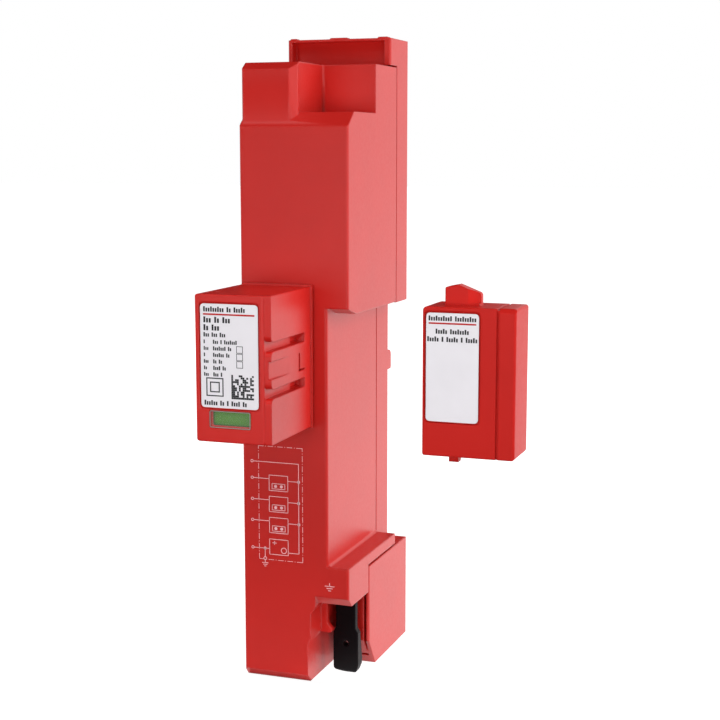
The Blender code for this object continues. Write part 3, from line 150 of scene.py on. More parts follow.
def vary_color(tree, shader, fac, low, high):
    ramp = add_node(tree, "ShaderNodeValToRGB")
    ramp.color_ramp.elements[0].position = NOISE_LOW
    ramp.color_ramp.elements[1].position = NOISE_HIGH
    ramp.color_ramp.elements[0].color = (*low, 1.0)
    ramp.color_ramp.elements[1].color = (*high, 1.0)
    tree.links.new(fac, ramp.inputs["Fac"])
    tree.links.new(ramp.outputs["Color"], shader.inputs["Base Color"])


def vary_roughness(tree, shader, fac, low, high):
    tree.links.new(spread_value(tree, fac, low, high, NOISE_LOW, NOISE_HIGH), shader.inputs["Roughness"])


def add_bump(tree, shader, fac, strength, distance):
    bump = add_node(tree, "ShaderNodeBump", Strength=strength, Distance=distance)
    tree.links.new(fac, bump.inputs["Height"])
    tree.links.new(bump.outputs["Normal"], shader.inputs["Normal"])
    return bump


def soften_corners(tree, skin, radius):
    """Shades every corner under the fine bumps of a skin as if it were rounded, as a mould leaves it."""
    corner = add_node(tree, "ShaderNodeBevel", samples=8, Radius=radius)
    tree.links.new(corner.outputs["Normal"], skin.inputs["Normal"])


def moulded_plastic(name, color, roughness, specular=0.6, grain=0.22 * MM, corner=0.7 * MM):
    """Eroded mould finish: a fine even grain, faint flow clouds in the colour and patches of more shine."""
    made, tree, shader = new_material(name, color, roughness, Specular_IOR_Level=specular)
    clouds = object_noise(tree, 55.0, detail=3.0, roughness=0.6)
    patches = object_noise(tree, 900.0, detail=3.0)
    bumps = object_noise(tree, 1.0 / grain, detail=3.0, roughness=0.65)
    vary_color(tree, shader, clouds, toned(color, 0.96), toned(color, 1.03))
    vary_roughness(tree, shader, patches, roughness - 0.025, roughness + 0.03)
    skin = add_bump(tree, shader, bumps, 0.2, 0.04 * MM)
    soften_corners(tree, skin, corner)
    return made


def film(name, color):
    """Printed polyester film: nearly even, with a very fine tooth."""
    made, tree, shader = new_material(name, color, 0.42, Specular_IOR_Level=0.3)
    vary_color(tree, shader, object_noise(tree, 120.0), toned(color, 0.97), color)
    add_bump(tree, shader, object_noise(tree, 3000.0), 0.08, 0.02 * MM)
    return made


def ink(name, color):
    made, tree, shader = new_material(name, color, 0.5, Specular_IOR_Level=0.25)
    vary_color(tree, shader, object_noise(tree, 900.0), toned(color, 0.85), color)
    return made


def drawn_metal(name, color, roughness, stretch):
    """Rolled strip or drawn wire: long fine scratches along the rolling direction."""
    made, tree, shader = new_material(name, color, roughness, Metallic=1.0)
    streaks = object_noise(tree, 900.0, detail=4.0, roughness=0.6, stretch=stretch)
    vary_color(tree, shader, object_noise(tree, 90.0, detail=3.0), toned(color, 0.8), color)
    vary_roughness(tree, shader, streaks, roughness - 0.08, roughness + 0.14)
    add_bump(tree, shader, streaks, 0.15, 0.03 * MM)
    return made


def fired_ceramic(name, color):
    made, tree, shader = new_material(name, color, 0.55)
    clouds = object_noise(tree, 300.0, detail=4.0, roughness=0.7)
    vary_color(tree, shader, clouds, toned(color, 0.86), color)
    add_bump(tree, shader, object_noise(tree, 1800.0, detail=3.0), 0.3, 0.06 * MM)
    return made


def board_laminate(name, color):
    """Solder mask with a faint weave of the glass cloth below it."""
    made, tree, shader = new_material(name, color, 0.35)
    weave = add_node(tree, "ShaderNodeTexWave", Scale=600.0, Distortion=1.5)
    tree.links.new(object_place(tree), weave.inputs["Vector"])
    vary_color(tree, shader, weave.outputs["Fac"], toned(color, 0.8), color)
    add_bump(tree, shader, weave.outputs["Fac"], 0.1, 0.03 * MM)
    return made


def window_plastic(name, color):
    made, tree, shader = new_material(name, color, 0.08, Alpha=0.05, Specular_IOR_Level=0.3)
    vary_roughness(tree, shader, object_noise(tree, 400.0), 0.05, 0.12)
    return made


def flag_paint(name, sound, tripped, line_height):
    """One colour below a line and one above it, which shows once the flag has turned."""
    made, tree, shader = new_material(name, sound, 0.5, Specular_IOR_Level=0.25)
    parts = add_node(tree, "ShaderNodeSeparateXYZ")
    paint = add_node(tree, "ShaderNodeMix", data_type="RGBA")
    paint.inputs["A"].default_value = (*sound, 1.0)
    paint.inputs["B"].default_value = (*tripped, 1.0)
    tree.links.new(object_place(tree), parts.inputs["Vector"])
    tree.links.new(calculate(tree, "GREATER_THAN", parts.outputs["Z"], line_height), paint.inputs["Factor"])
    tree.links.new(paint.outputs["Result"], shader.inputs["Base Color"])
    add_bump(tree, shader, object_noise(tree, 2500.0), 0.1, 0.03 * MM)
    return made


HOUSING_RED = moulded_plastic("housing_red", (0.56, 0.015, 0.011), 0.35, 0.68)
# The head uses a lighter copy of the housing red: painted light that makes up for the shade the cover casts
# on the head's side
HEAD_RED_LIT = moulded_plastic("head_red_lit", (0.61, 0.017, 0.013), 0.36, 0.55)
COVER_RED = moulded_plastic("cover_red", (0.56, 0.016, 0.012), 0.38, 0.12)
SLIDE_BLACK = moulded_plastic("slide_black", (0.0025, 0.0015, 0.002), 0.48, 0.15, 0.4 * MM)
CASE_BLACK = moulded_plastic("case_black", (0.03, 0.03, 0.034), 0.5, grain=0.4 * MM)
COAT_BLUE = moulded_plastic("coat_blue", (0.04, 0.1, 0.32), 0.35, grain=0.6 * MM)
# A pale grey ring painted as the highlight that the edge of the clear window pane catches
RIM_HIGHLIGHT_GREY = moulded_plastic("rim_highlight_grey", (0.46, 0.38, 0.36), 0.4, 0.35, 0.4 * MM)
WHITE_FILM = film("white_film", (0.86, 0.83, 0.87))
RED_INK = ink("red_ink", (0.55, 0.03, 0.03))
GREY_INK = ink("grey_ink", (0.035, 0.035, 0.038))
PALE_INK = ink("pale_ink", (0.95, 0.55, 0.58))
CLAW_COPPER = drawn_metal("claw_copper", (0.75, 0.4, 0.24), 0.3, (0.05, 1.0, 1.0))
SPRING_STEEL = drawn_metal("spring_steel", (0.6, 0.6, 0.62), 0.28, (1.0, 1.0, 0.1))
GAP_CERAMIC = fired_ceramic("gap_ceramic", (0.72, 0.69, 0.62))
BOARD_GREEN = board_laminate("board_green", (0.03, 0.16, 0.06))
WINDOW_CLEAR = window_plastic("window_clear", (0.82, 0.9, 0.82))
FLAG_PAINT = flag_paint("flag_paint", (0.075, 0.27, 0.012), (0.62, 0.02, 0.015), FLAG_HIGH.z - 2.1 * MM)


def dress(obj, material, body, *replaced):
    obj.data.materials.clear()
    obj.data.materials.append(material)
    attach(obj, body)
    if replaced:
        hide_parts(*replaced)
    return obj


def dress_cad(material, *nodes):
    for node in nodes:
        NODES[node].data.materials.clear()
        NODES[node].data.materials.append(material)


# Faces that meet at more than the crease angle form a corner. A corner edge shorter than the arc step belongs
# to a round stretch, which turns by less than the arc turn from one edge to the next
MERGE_DISTANCE = 0.002 * MM
FLAT_ANGLE = math.radians(0.8)
CREASE_ANGLE = math.radians(24)
SMOOTH_ANGLE = math.radians(32)
ARC_TURN = math.radians(50)
ARC_STEP = 0.75 * MM
ARC_PASSES = 6
BEVEL_SHARE = 0.38


def runs_on(edge, other, corner):
    """True where another edge carries on from a corner in nearly the same direction."""
    arriving = corner.co - edge.other_vert(corner).co
    leaving = other.other_vert(corner).co - corner.co
    return arriving.angle(leaving) < ARC_TURN


def room_beside(edge, creases):
    """The distance from a corner edge to the nearest feature on the two faces beside it."""
    first, second = (corner.co for corner in edge.verts)
    length = edge.calc_length()
    along = (second - first) / length
    room = math.inf
    for face in edge.link_faces:
        for corner in face.verts:
            reach = corner.co - first
            place = reach.dot(along)
            if corner not in edge.verts and 0.0 < place < length:
                room = min(room, (reach - along * place).length)
    for corner in edge.verts:
        for other in corner.link_edges:
            if other is not edge and other in creases and not runs_on(edge, other, corner):
                reach = min(length, other.calc_length())
                if reach > ARC_STEP:
                    room = min(room, reach)
    return room


def weigh_edges(mesh, width):
    """Gives each corner edge that stands out a bevel as wide as the faces beside it leave room for."""
    form = bmesh.new()
    form.from_mesh(mesh)
    weights = form.edges.layers.float.new("bevel_weight_edge")
    pairs = [edge for edge in form.edges if len(edge.link_faces) == 2]
    creases = {edge for edge in pairs if edge.calc_face_angle(0.0) > CREASE_ANGLE}
    rooms = {edge: room_beside(edge, creases) for edge in creases}
    steps = [edge for edge in creases if edge.calc_length() < ARC_STEP]
    for _ in range(ARC_PASSES):
        for edge in steps:
            for corner in edge.verts:
                for other in corner.link_edges:
                    if other is not edge and other in creases:
                        rooms[edge] = min(rooms[edge], rooms[other])
    for edge in creases:
        if edge.is_convex:
            edge[weights] = min(1.0, BEVEL_SHARE * rooms[edge] / width)
    form.to_mesh(mesh)
    form.free()


def merged_copy(node, name):
    """A copy of a CAD node with its loose triangles merged to plain faces."""
    clear_selection()
    obj = bpy.data.objects.new(name, NODES[node].data.copy())
    bpy.context.scene.collection.objects.link(obj)
    activate(obj)
    bpy.ops.object.mode_set(mode="EDIT")
    bpy.ops.mesh.select_all(action="SELECT")
    bpy.ops.mesh.remove_doubles(threshold=MERGE_DISTANCE)
    bpy.ops.mesh.dissolve_limited(angle_limit=FLAT_ANGLE)
    bpy.ops.object.mode_set(mode="OBJECT")
    return obj


def round_edges(obj, width, segments):
    weigh_edges(obj.data, width)
    rounding = obj.modifiers.new("rounded_edges", "BEVEL")
    rounding.limit_method = "WEIGHT"
    rounding.width = width
    rounding.segments = segments
    bpy.ops.object.modifier_apply(modifier=rounding.name)


def flatten_faces(obj):
    """Smooth shading over the rounded edges, with the large faces kept flat."""
    activate(obj)
    bpy.ops.object.shade_smooth_by_angle(angle=SMOOTH_ANGLE)
    flattening = obj.modifiers.new("flat_faces", "WEIGHTED_NORMAL")
    flattening.keep_sharp = True
    bpy.ops.object.modifier_apply(modifier=flattening.name)


def moulded_copy(node, name, material, width, segments=3):
    """The form of a CAD node with its edges rounded, as a mould leaves them."""
    obj = merged_copy(node, name)
    round_edges(obj, width, segments)
    flatten_faces(obj)
    return dress(obj, material, BODY_OF[node], node)


# The small hole in the slide's paddle
HOLE_X = 12.55 * MM
HOLE_RISE = 10.0 * MM
HOLE_RADIUS = 0.95 * MM
HOLE_SIDES = 40


def close_hole(obj, hole_z):
    """Takes away the wall of the slide's hole and fills its two rims."""
    form = bmesh.new()
    form.from_mesh(obj.data)
    wall = []
    for face in form.faces:
        middle = face.calc_center_median()
        reach = math.hypot(middle.x - HOLE_X, middle.z - hole_z)
        if abs(face.normal.y) < 0.1 and reach < HOLE_RADIUS + 0.25 * MM:
            wall.append(face)
    bmesh.ops.delete(form, geom=wall, context="FACES")
    bmesh.ops.holes_fill(form, edges=[rim for rim in form.edges if rim.is_boundary])
    bmesh.ops.dissolve_limit(form, angle_limit=FLAT_ANGLE, verts=form.verts, edges=form.edges)
    form.to_mesh(obj.data)
    form.free()


def drill_hole(obj, front_y, hole_z):
    clear_selection()
    bpy.ops.mesh.primitive_cylinder_add(vertices=HOLE_SIDES, radius=HOLE_RADIUS, depth=12 * MM)
    drill = bpy.context.object
    turn_to_front(drill, HOLE_X, front_y, hole_z)
    activate(obj)
    drilling = obj.modifiers.new("hole", "BOOLEAN")
    drilling.object = drill
    bpy.ops.object.modifier_apply(modifier=drilling.name)
    bpy.data.objects.remove(drill)


def pierced_slide(width):
    """The slide with soft edges. Its hole is closed first, and drilled again once the edges are round."""
    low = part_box("locking_slide")[0]
    obj = merged_copy("locking_slide", "slide_body")
    close_hole(obj, low.z + HOLE_RISE)
    round_edges(obj, width, segments=4)
    drill_hole(obj, low.y, low.z + HOLE_RISE)
    flatten_faces(obj)
    return dress(obj, SLIDE_BLACK, "slide", "locking_slide")


# Flat printed marks, each a thin raised layer of ink on a face that looks to the front
INK_THICKNESS = 0.05 * MM
ROUND_SIDES = 28


def joined(pieces, name):
    clear_selection()
    for piece in pieces:
        piece.select_set(True)
    bpy.context.view_layer.objects.active = pieces[0]
    bpy.ops.object.join()
    pieces[0].name = name
    return pieces[0]


def ink_bar(x, z, width, height, face_y):
    """A filled rectangle of ink. x and z are its centre."""
    clear_selection()
    bpy.ops.mesh.primitive_cube_add(size=1.0, location=(x, face_y, z))
    bar = bpy.context.object
    bar.scale = (width, 2 * INK_THICKNESS, height)
    bpy.ops.object.transform_apply(location=True, rotation=True, scale=True)
    return bar


def ink_line(x0, z0, x1, z1, width, face_y):
    """A stroke between two points that lie straight above or beside each other."""
    if abs(x1 - x0) > abs(z1 - z0):
        return ink_bar((x0 + x1) / 2, z0, abs(x1 - x0) + width, width, face_y)
    return ink_bar(x0, (z0 + z1) / 2, width, abs(z1 - z0) + width, face_y)


def ink_dot(x, z, radius, face_y):
    clear_selection()
    bpy.ops.mesh.primitive_cylinder_add(vertices=ROUND_SIDES, radius=radius, depth=2 * INK_THICKNESS)
    dot = bpy.context.object
    turn_to_front(dot, x, face_y, z)
    return dot


def cut_to_ring(width, raised):
    """Cuts out the middle of the active flat face and raises the ring that is left to the front."""
    bpy.ops.object.mode_set(mode="EDIT")
    bpy.ops.mesh.select_all(action="SELECT")
    bpy.ops.mesh.inset(thickness=width, depth=0)
    bpy.ops.mesh.delete(type="FACE")
    bpy.ops.mesh.select_all(action="SELECT")
    bpy.ops.mesh.extrude_region_move(TRANSFORM_OT_translate={"value": (0.0, -raised, 0.0)})
    bpy.ops.mesh.select_all(action="SELECT")
    bpy.ops.mesh.normals_make_consistent(inside=False)
    bpy.ops.object.mode_set(mode="OBJECT")


def ink_ring(x, z, radius, width, face_y):
    clear_selection()
    bpy.ops.mesh.primitive_circle_add(vertices=ROUND_SIDES, radius=radius, fill_type="NGON")
    ring = bpy.context.object
    turn_to_front(ring, x, face_y, z)
    cut_to_ring(width, INK_THICKNESS)
    return ring


def ink_box(x0, z0, x1, z1, width, face_y):
    return [
        ink_line(x0, z0, x1, z0, width, face_y),
        ink_line(x0, z1, x1, z1, width, face_y),
        ink_line(x0, z0, x0, z1, width, face_y),
        ink_line(x1, z0, x1, z1, width, face_y),
    ]


def open_square(x, z, size, width, face_y):
    """The outline of a square, from its low left corner."""
    return ink_box(x, z, x + size, z + size, width, face_y)


EARTH_BARS = (1.0, 0.62, 0.26)


def earth_sign(x, top, size, stem, step, width, face_y):
    """The common sign for earth: a stem and three bars that get shorter."""
    strokes = [ink_line(x, top, x, top - stem, width, face_y)]
    for k, share in enumerate(EARTH_BARS):
        z = top - stem - step * k
        strokes.append(ink_line(x - size * share / 2, z, x + size * share / 2, z, width, face_y))
    return strokes


DASH, DASH_SPACE = 1.7 * MM, 0.75 * MM


def dash_dot_line(x0, z0, x1, z1, width, face_y):
    """A line of long and short strokes between two points, straight above or beside each other."""
    length = abs(x1 - x0) + abs(z1 - z0)
    along_x, along_z = (x1 - x0) / length, (z1 - z0) / length
    strokes = []
    place = 0.0
    long_turn = True
    while place < length - width:
        stop = min(place + (DASH if long_turn else 0.5 * width), length)
        first = (x0 + along_x * place, z0 + along_z * place)
        last = (x0 + along_x * stop, z0 + along_z * stop)
        strokes.append(ink_line(*first, *last, width, face_y))
        place = stop + DASH_SPACE
        long_turn = not long_turn
    return strokes


# The printed circuit: the lines start at the left, pass the boxes and end at the bus line
STROKE = 0.2 * MM
RING_STROKE = 0.22 * MM
DOT = 0.5 * MM
START_X, BUS_X, SIGN_X = LEFT + 3.8 * MM, LEFT + 19.2 * MM, LEFT + 7.5 * MM
BOX_LEFT, BOX_RIGHT, BOX_HEIGHT = LEFT + 9.1 * MM, LEFT + 15.5 * MM, 5.0 * MM
PHASE_BOXES = (62.7 * MM, 55.8 * MM, 48.9 * MM)
FEED_RISE = 3.8 * MM
NEUTRAL_Z, EARTH_Z, EARTH_BOX, EARTH_JOINT = 71.9 * MM, 43.6 * MM, 41.8 * MM, 42.7 * MM


def circuit_line(x0, z0, x1, z1):
    return ink_line(x0, z0, x1, z1, STROKE, FRONT)


def circuit_frame():
    left, right, low, high = LEFT + 5.5 * MM, LEFT + 20.5 * MM, 40.0 * MM, 77.0 * MM
    strokes = []
    for side_x in (left, right):
        strokes += dash_dot_line(side_x, low, side_x, high, 0.8 * STROKE, FRONT)
    for side_z in (low, high):
        strokes += dash_dot_line(left, side_z, right, side_z, 0.8 * STROKE, FRONT)
    return strokes


def phase_box(low):
    """The gap of one phase: a box with a chamber and two dots, between its feed and the bus line."""
    feed_z, joint_z = low + FEED_RISE, low + 3.4 * MM
    rim, chamber_low, chamber_height = 1.0 * MM, low + 0.6 * MM, 1.7 * MM
    chamber = (BOX_LEFT + rim, chamber_low, BOX_RIGHT - rim, chamber_low + chamber_height)
    marks = ink_box(BOX_LEFT, low, BOX_RIGHT, low + BOX_HEIGHT, STROKE, FRONT)
    marks.append(circuit_line(START_X, feed_z, BOX_LEFT, feed_z))
    marks.append(circuit_line(BOX_RIGHT, joint_z, BUS_X, joint_z))
    marks.append(ink_dot(BUS_X, joint_z, 0.52 * MM, FRONT))
    marks += ink_box(*chamber, STROKE, FRONT)
    for side in (-1.0, 1.0):
        dot_x = (BOX_LEFT + BOX_RIGHT) / 2 + side * MM
        marks.append(ink_dot(dot_x, chamber_low + chamber_height / 2, DOT, FRONT))
    return marks


def earth_box():
    """The gap to earth: a box with a small cross and a ring, between the bus line and the earth line."""
    cross_x, cross_z = BOX_LEFT + 1.7 * MM, EARTH_BOX + 3.8 * MM
    ring_x, ring_z = BOX_RIGHT - 1.5 * MM, EARTH_BOX + 1.5 * MM
    marks = ink_box(BOX_LEFT, EARTH_BOX, BOX_RIGHT, EARTH_BOX + BOX_HEIGHT, STROKE, FRONT)
    marks.append(circuit_line(START_X, EARTH_Z, BOX_LEFT, EARTH_Z))
    marks.append(circuit_line(BOX_RIGHT, EARTH_JOINT, BUS_X, EARTH_JOINT))
    marks.append(ink_ring(ring_x, ring_z, 1.0 * MM, RING_STROKE, FRONT))
    marks.append(ink_bar(cross_x, cross_z, 1.5 * MM, STROKE, FRONT))
    marks.append(ink_bar(cross_x, cross_z, STROKE, 1.2 * MM, FRONT))
    return marks


def earth_branch():
    """The short line down from the earth line, with a ring and the sign for earth at its end."""
    ring_z, ring_radius = 40.3 * MM, 0.6 * MM
    marks = [ink_dot(SIGN_X, EARTH_Z, DOT, FRONT)]
    marks.append(circuit_line(SIGN_X, EARTH_Z, SIGN_X, ring_z + ring_radius))
    marks.append(ink_ring(SIGN_X, ring_z, ring_radius, RING_STROKE, FRONT))
    marks += earth_sign(SIGN_X, 39.6 * MM, 2.0 * MM, 0.8 * MM, 0.55 * MM, STROKE, FRONT)
    return marks


def printed_circuit():
    """The connection diagram on the lower front: a dash-dot frame, five lines and four components."""
    marks = circuit_frame()
    marks.append(circuit_line(START_X, NEUTRAL_Z, BUS_X, NEUTRAL_Z))
    marks.append(circuit_line(BUS_X, NEUTRAL_Z, BUS_X, EARTH_JOINT))
    for low in PHASE_BOXES:
        marks += phase_box(low)
    marks += earth_box()
    marks += earth_branch()
    for line_z in (NEUTRAL_Z, EARTH_Z, *(low + FEED_RISE for low in PHASE_BOXES)):
        marks.append(ink_ring(START_X - 0.55 * MM, line_z, DOT, 0.2 * MM, FRONT))
    return dress(joined(marks, "printed_circuit"), PALE_INK, "housing")


def printed_earth_mark():
    """The larger sign for earth near the foot."""
    strokes = earth_sign(LEFT + 29.6 * MM, 34.1 * MM, 3.1 * MM, 0.95 * MM, 0.72 * MM, STROKE, FRONT)
    return dress(joined(strokes, "printed_earth_mark"), PALE_INK, "housing")


# The ticks of a print: the pitch and the low tick are shares of the tall tick's height, and a tick's width
# and middle are shares of the pitch
TICK_PITCH = 0.5
LOW_TICK = 0.74
TICK_WIDTH = 0.68
TICK_MIDDLE = 0.45
TALL_TURN = 3


def tick_group(x, z, count, height, face_y):
    """Upright ticks on one foot line, a tall one and then low ones by turns. z is the tall one's middle."""
    pitch = TICK_PITCH * height
    foot = z - height / 2
    ticks = []
    for k in range(count):
        tall = height if k % TALL_TURN == 0 else LOW_TICK * height
        middle = (x + (k + TICK_MIDDLE) * pitch, foot + tall / 2)
        ticks.append(ink_bar(*middle, TICK_WIDTH * pitch, tall, face_y))
    return ticks


def tick_row(x, z, groups, height, face_y):
    """A row of groups, each given by its number of ticks, with a space of one tick between them."""
    ticks = []
    for count in groups:
        ticks += tick_group(x, z, count, height, face_y)
        x += (count + 1) * TICK_PITCH * height
    return ticks


def row_width(groups, height):
    return (sum(groups) + len(groups) - 1) * TICK_PITCH * height


def cell_pattern(x, z, size, count, face_y):
    """A square field of small dark cells in a made-up mix, from its low left corner."""
    cell = size / count
    filled = 0.94 * cell
    cells = []
    for row in range(count):
        for column in range(count):
            on_edge = row == 0 or column == 0
            if on_edge or (7 * row + 5 * column * column + 3 * row * column + (row ^ column)) % 7 < 4:
                middle = (x + (column + 0.5) * cell, z + (row + 0.5) * cell)
                cells.append(ink_bar(*middle, filled, filled, face_y))
    return cells


def label_rule(name, low, high, drop, share, width, body):
    """The coloured rule below a label's heading. low and high are the label's corners."""
    rule = ink_bar((low.x + high.x) / 2, high.z - drop, (high.x - low.x) * share, width, low.y)
    rule.name = name
    return dress(rule, RED_INK, body)


def label_print():
    """Rows of ticks on the rating label, a rule, three small boxes, a double square and a cell pattern."""
    face, left, low, top = LABEL_LOW.y, LABEL_LOW.x, LABEL_LOW.z, LABEL_HIGH.z
    start = left + 1.0 * MM
    headings = ((1.6, (9, 2, 5), 1.5), (4.7, (3, 2, 3), 1.75), (7.0, (2, 3), 1.75), (9.1, (3, 3, 3), 1.3))
    fields = ((1, (3, 1, 7)), (3, (7, 2)), (1, (6, 2)), (3, (2, 2)), (2, (4, 2)), (3, (3, 1)))
    field_drop, field_step, box_drop, box_step = 11.2, 1.93, 14.2, 2.2
    dark = []
    for drop, groups, height in headings:
        dark += tick_row(start, top - drop * MM, groups, height * MM, face)
    for k, (sign, value) in enumerate(fields):
        z = top - (field_drop + field_step * k) * MM
        dark += tick_row(start, z, (sign,), 1.1 * MM, face)
        dark += tick_row(start + 3.0 * MM, z, value, 1.2 * MM, face)
    dark += tick_row(start, low + 1.5 * MM, (6, 2, 1, 4, 2), 1.45 * MM, face)
    for k in range(3):
        box_z = top - (box_drop + box_step * k) * MM
        dark += open_square(left + 11.6 * MM, box_z, 1.9 * MM, 0.16 * MM, face)
    for inset in (0.0, 1.2):
        corner = (left + (1.9 + inset) * MM, low + (3.6 + inset) * MM)
        dark += open_square(*corner, (5.2 - 2 * inset) * MM, 0.34 * MM, face)
    dark += cell_pattern(left + 9.8 * MM, low + 2.9 * MM, 7.2 * MM, 12, face)
    dress(joined(dark, "label_marks"), GREY_INK, "housing")
    label_rule("label_rule", LABEL_LOW, LABEL_HIGH, 3.1 * MM, 0.89, 0.5 * MM, "housing")


def cover_print():
    """Three centred rows of ticks and a rule on the marking cover's label."""
    face, top = COVER_LABEL_LOW.y, COVER_LABEL_HIGH.z
    middle = (COVER_LABEL_LOW.x + COVER_LABEL_HIGH.x) / 2
    height = 1.38 * MM
    dark = []
    for drop, groups in ((1.5, (10, 9)), (5.1, (5, 8)), (7.3, (5, 1, 5, 1, 5))):
        dark += tick_row(middle - row_width(groups, height) / 2, top - drop * MM, groups, height, face)
    dress(joined(dark, "cover_label_marks"), GREY_INK, "cover")
    label_rule("cover_label_rule", COVER_LABEL_LOW, COVER_LABEL_HIGH, 2.9 * MM, 0.9, 0.45 * MM, "cover")


def window_edge_highlight():
    """Pale ring with rounded corners around the status window: painted highlight on the clear pane's edge."""
    overlap, corner, width, raised = 0.25 * MM, 0.5 * MM, 0.24 * MM, 0.1 * MM
    low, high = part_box("status_window")
    clear_selection()
    bpy.ops.mesh.primitive_plane_add(size=1.0)
    rim = bpy.context.object
    rim.name = "window_edge_highlight"
    rim.scale = (high.x - low.x + 2 * overlap, high.z - low.z + 2 * overlap, 1.0)
    turn_to_front(rim, (low.x + high.x) / 2, HEAD_LOW.y, (low.z + high.z) / 2)
    bpy.ops.object.mode_set(mode="EDIT")
    bpy.ops.mesh.select_all(action="SELECT")
    bpy.ops.mesh.bevel(offset=corner, affect="VERTICES", segments=4)
    bpy.ops.object.mode_set(mode="OBJECT")
    cut_to_ring(width, raised)
    return dress(rim, RIM_HIGHLIGHT_GREY, "housing")


# Housings and moving pieces
moulded_copy("front_housing", "front_shell", HOUSING_RED, 0.7 * MM)
moulded_copy("rear_housing", "rear_shell", HOUSING_RED, 0.6 * MM)
moulded_copy("head_housing", "head_shell", HEAD_RED_LIT, 0.6 * MM)
moulded_copy("marking_cover", "cover_shell", COVER_RED, 0.6 * MM)
pierced_slide(0.8 * MM)
moulded_copy("status_window", "window_pane", WINDOW_CLEAR, 0.12 * MM)
moulded_copy("rating_label", "rating_film", WHITE_FILM, 0.08 * MM, segments=1)
moulded_copy("cover_label", "cover_film", WHITE_FILM, 0.08 * MM, segments=1)
for line in ("n", *PHASES, "pe"):
    moulded_copy(f"claw_{line}", f"contact_claw_{line}", CLAW_COPPER, 0.2 * MM)
dress_cad(CLAW_COPPER, *(f"phase_strap_{line}" for line in PHASES), "earth_strap", "neutral_rail")
dress_cad(GAP_CERAMIC, *(f"spark_gap_{line}" for line in PHASES), "spark_gap_npe")
dress_cad(SPRING_STEEL, "slide_spring", "flag_axle")
dress_cad(BOARD_GREEN, "trigger_board", "monitor_board")
dress_cad(CASE_BLACK, "thermal_trip", "monitor_module", "trigger_transformer")
dress_cad(COAT_BLUE, "trigger_capacitor", "trigger_varistor")
dress_cad(FLAG_PAINT, "status_flag")

# Prints
printed_circuit()
printed_earth_mark()
label_print()
cover_print()
# Painted highlight around the status window's pane
window_edge_highlight()

# Floor, light and camera. Lamps light the faces, and the shine on them mirrors the white room and floor.
# The first two values are what the faces get from the room and the floor. The next two are how the floor
# looks to the camera and to shiny faces
ROOM_LIGHT = 0.42
FLOOR_BOUNCE = 0.85
FLOOR_GLOW = 0.95
FLOOR_SHADE = 0.52
HOUSING_MIDDLE = (0.0, 0.0, 0.1)
HEAD_MIDDLE = (0.0, 0.0, 0.11)
UP, BACKWARD, FORWARD = Vector((0.0, 0.0, 1.0)), Vector((0.0, 1.0, 0.0)), Vector((0.0, -1.0, 0.0))

# The camera looks down by the drop and to the left by the turn, both in degrees
CAMERA_PLACE = (168.93 * MM, -442.31 * MM, 169.83 * MM)
CAMERA_DROP, CAMERA_TURN = 8.278, 19.639
FOCAL_PIXELS, PICTURE_PIXELS = 1440.6, 720.0


def seen_as_white(tree):
    """One for rays from the camera, reflections and glass, so that all of these see the same white."""
    path = add_node(tree, "ShaderNodeLightPath")
    seen = calculate(tree, "MAXIMUM", path.outputs["Is Camera Ray"], path.outputs["Is Glossy Ray"])
    return calculate(tree, "MAXIMUM", seen, path.outputs["Is Transmission Ray"])


def light_floor():
    """A white floor that glows where it is seen, and keeps a little of the soft shadow of the housing."""
    clear_selection()
    bpy.ops.mesh.primitive_plane_add(size=12.0, location=(0.0, 0.0, 0.0))
    floor = bpy.context.object
    floor.name = "floor"
    made = bpy.data.materials.new("floor_white")
    made.use_nodes = True
    tree = made.node_tree
    tree.nodes.clear()
    output = add_node(tree, "ShaderNodeOutputMaterial")
    matte = add_node(tree, "ShaderNodeBsdfDiffuse")
    glow = add_node(tree, "ShaderNodeEmission", Color=(1.0, 1.0, 1.0, 1.0))
    both = add_node(tree, "ShaderNodeAddShader")
    seen = seen_as_white(tree)
    tree.links.new(spread_value(tree, seen, FLOOR_BOUNCE, FLOOR_SHADE), matte.inputs["Color"])
    tree.links.new(calculate(tree, "MULTIPLY", seen, FLOOR_GLOW), glow.inputs["Strength"])
    tree.links.new(matte.outputs["BSDF"], both.inputs[0])
    tree.links.new(glow.outputs["Emission"], both.inputs[1])
    tree.links.new(both.outputs["Shader"], output.inputs["Surface"])
    made.cycles.emission_sampling = "NONE"
    floor.data.materials.append(made)


def light_world():
    """A white room that lights the faces by less than it shows."""
    world = bpy.data.worlds.new("studio")
    bpy.context.scene.world = world
    world.use_nodes = True
    world.cycles.sampling_method = "NONE"
    tree = world.node_tree
    background = tree.nodes["Background"]
    background.inputs["Color"].default_value = (1.0, 1.0, 1.0, 1.0)
    tree.links.new(spread_value(tree, seen_as_white(tree), ROOM_LIGHT, 1.0), background.inputs["Strength"])


def dark_flag(name, place, facing, width, height, spin=0.0, shade=0.03, mirror_only=False):
    """A grey card outside the picture that keeps a face from mirroring the bright room."""
    clear_selection()
    bpy.ops.mesh.primitive_plane_add(size=1.0)
    card = bpy.context.object
    card.name = name
    card.scale = (width, height, 1.0)
    bpy.ops.object.transform_apply(location=False, rotation=False, scale=True)
    turn = Matrix.Rotation(math.radians(spin), 4, "Z") @ facing.to_track_quat("Z", "Y").to_matrix().to_4x4()
    card.data.transform(Matrix.Translation(place) @ turn)
    made = new_material(name, (shade, shade, shade), 0.9, Specular_IOR_Level=0.1)[0]
    card.data.materials.append(made)
    card.visible_camera = False
    if mirror_only:
        card.visible_shadow = False
        card.visible_diffuse = False


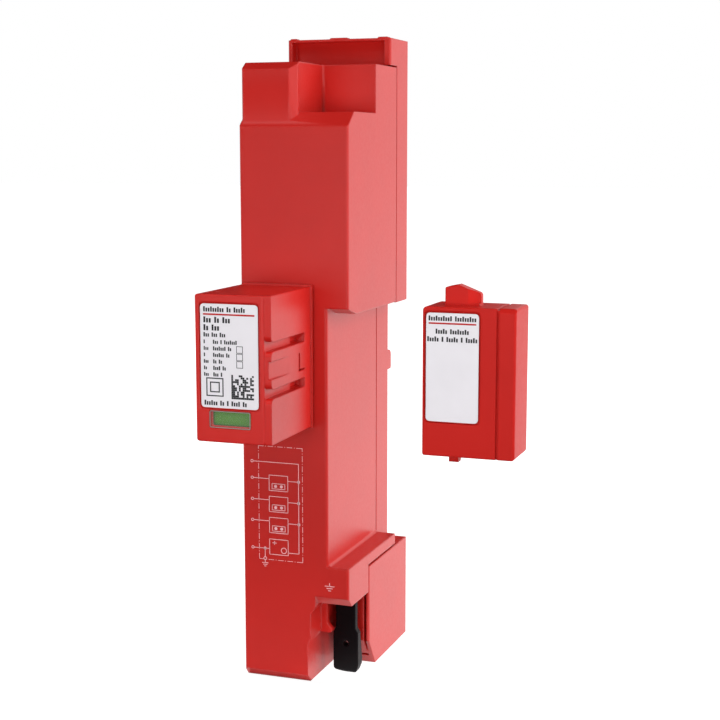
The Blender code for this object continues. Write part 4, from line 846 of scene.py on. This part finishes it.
def softbox(name, place, target, size, power):
    """A lamp with an even bright face, which no shiny face mirrors."""
    data = bpy.data.lights.new(name, "AREA")
    data.shape = "RECTANGLE"
    data.size, data.size_y = size
    data.energy = power
    lamp = bpy.data.objects.new(name, data)
    bpy.context.scene.collection.objects.link(lamp)
    lamp.location = place
    lamp.visible_glossy = False
    lamp.rotation_mode = "QUATERNION"
    lamp.rotation_quaternion = (Vector(target) - Vector(place)).to_track_quat("-Z", "Y")


def photograph_camera():
    """The view of the photograph: from the front right, a little above the middle of the housing."""
    data = bpy.data.cameras.new("camera")
    data.sensor_width = 36.0
    data.lens = FOCAL_PIXELS / PICTURE_PIXELS * data.sensor_width
    data.clip_start, data.clip_end = 0.05, 20.0
    camera = bpy.data.objects.new("camera", data)
    bpy.context.scene.collection.objects.link(camera)
    camera.location = CAMERA_PLACE
    camera.rotation_euler = (math.radians(90 - CAMERA_DROP), 0.0, math.radians(CAMERA_TURN))
    bpy.context.scene.camera = camera


light_floor()
light_world()
softbox("key", (0.80, 0.22, 0.30), HEAD_MIDDLE, (0.9, 0.9), 7.7)
softbox("fill", (-0.05, -0.60, 0.78), HOUSING_MIDDLE, (0.8, 0.5), 2.6)
softbox("front", (0.0, -0.56, 0.11), HOUSING_MIDDLE, (0.6, 0.2), 1.6)
softbox("front_right", (0.42, -0.48, 0.12), HOUSING_MIDDLE, (0.3, 0.2), 0.55)
softbox("back", (-0.55, 0.80, 0.35), HOUSING_MIDDLE, (0.6, 0.4), 3.6)
dark_flag("flag_front", (-0.35, -0.85, 0.55), BACKWARD, 2.0, 1.1)
dark_flag("flag_floor", (0.026, -0.4865, 0.0005), UP, 1.2, 0.8, spin=CAMERA_TURN)
dark_flag("flag_near", (-0.12, -0.0815, 0.0003), UP, 0.27, 0.1, mirror_only=True)
dark_flag("flag_under", (-0.003, -0.0284, 0.0004), UP, 0.029, 0.004, shade=0.6)
dark_flag("flag_back", (-1.1, 0.9, 1.55), FORWARD, 1.9, 2.9)
dark_flag("flag_top", (-0.5, 0.3, 1.3), UP, 1.5, 1.3)
photograph_camera()
bpy.context.scene.view_settings.view_transform = "Standard"
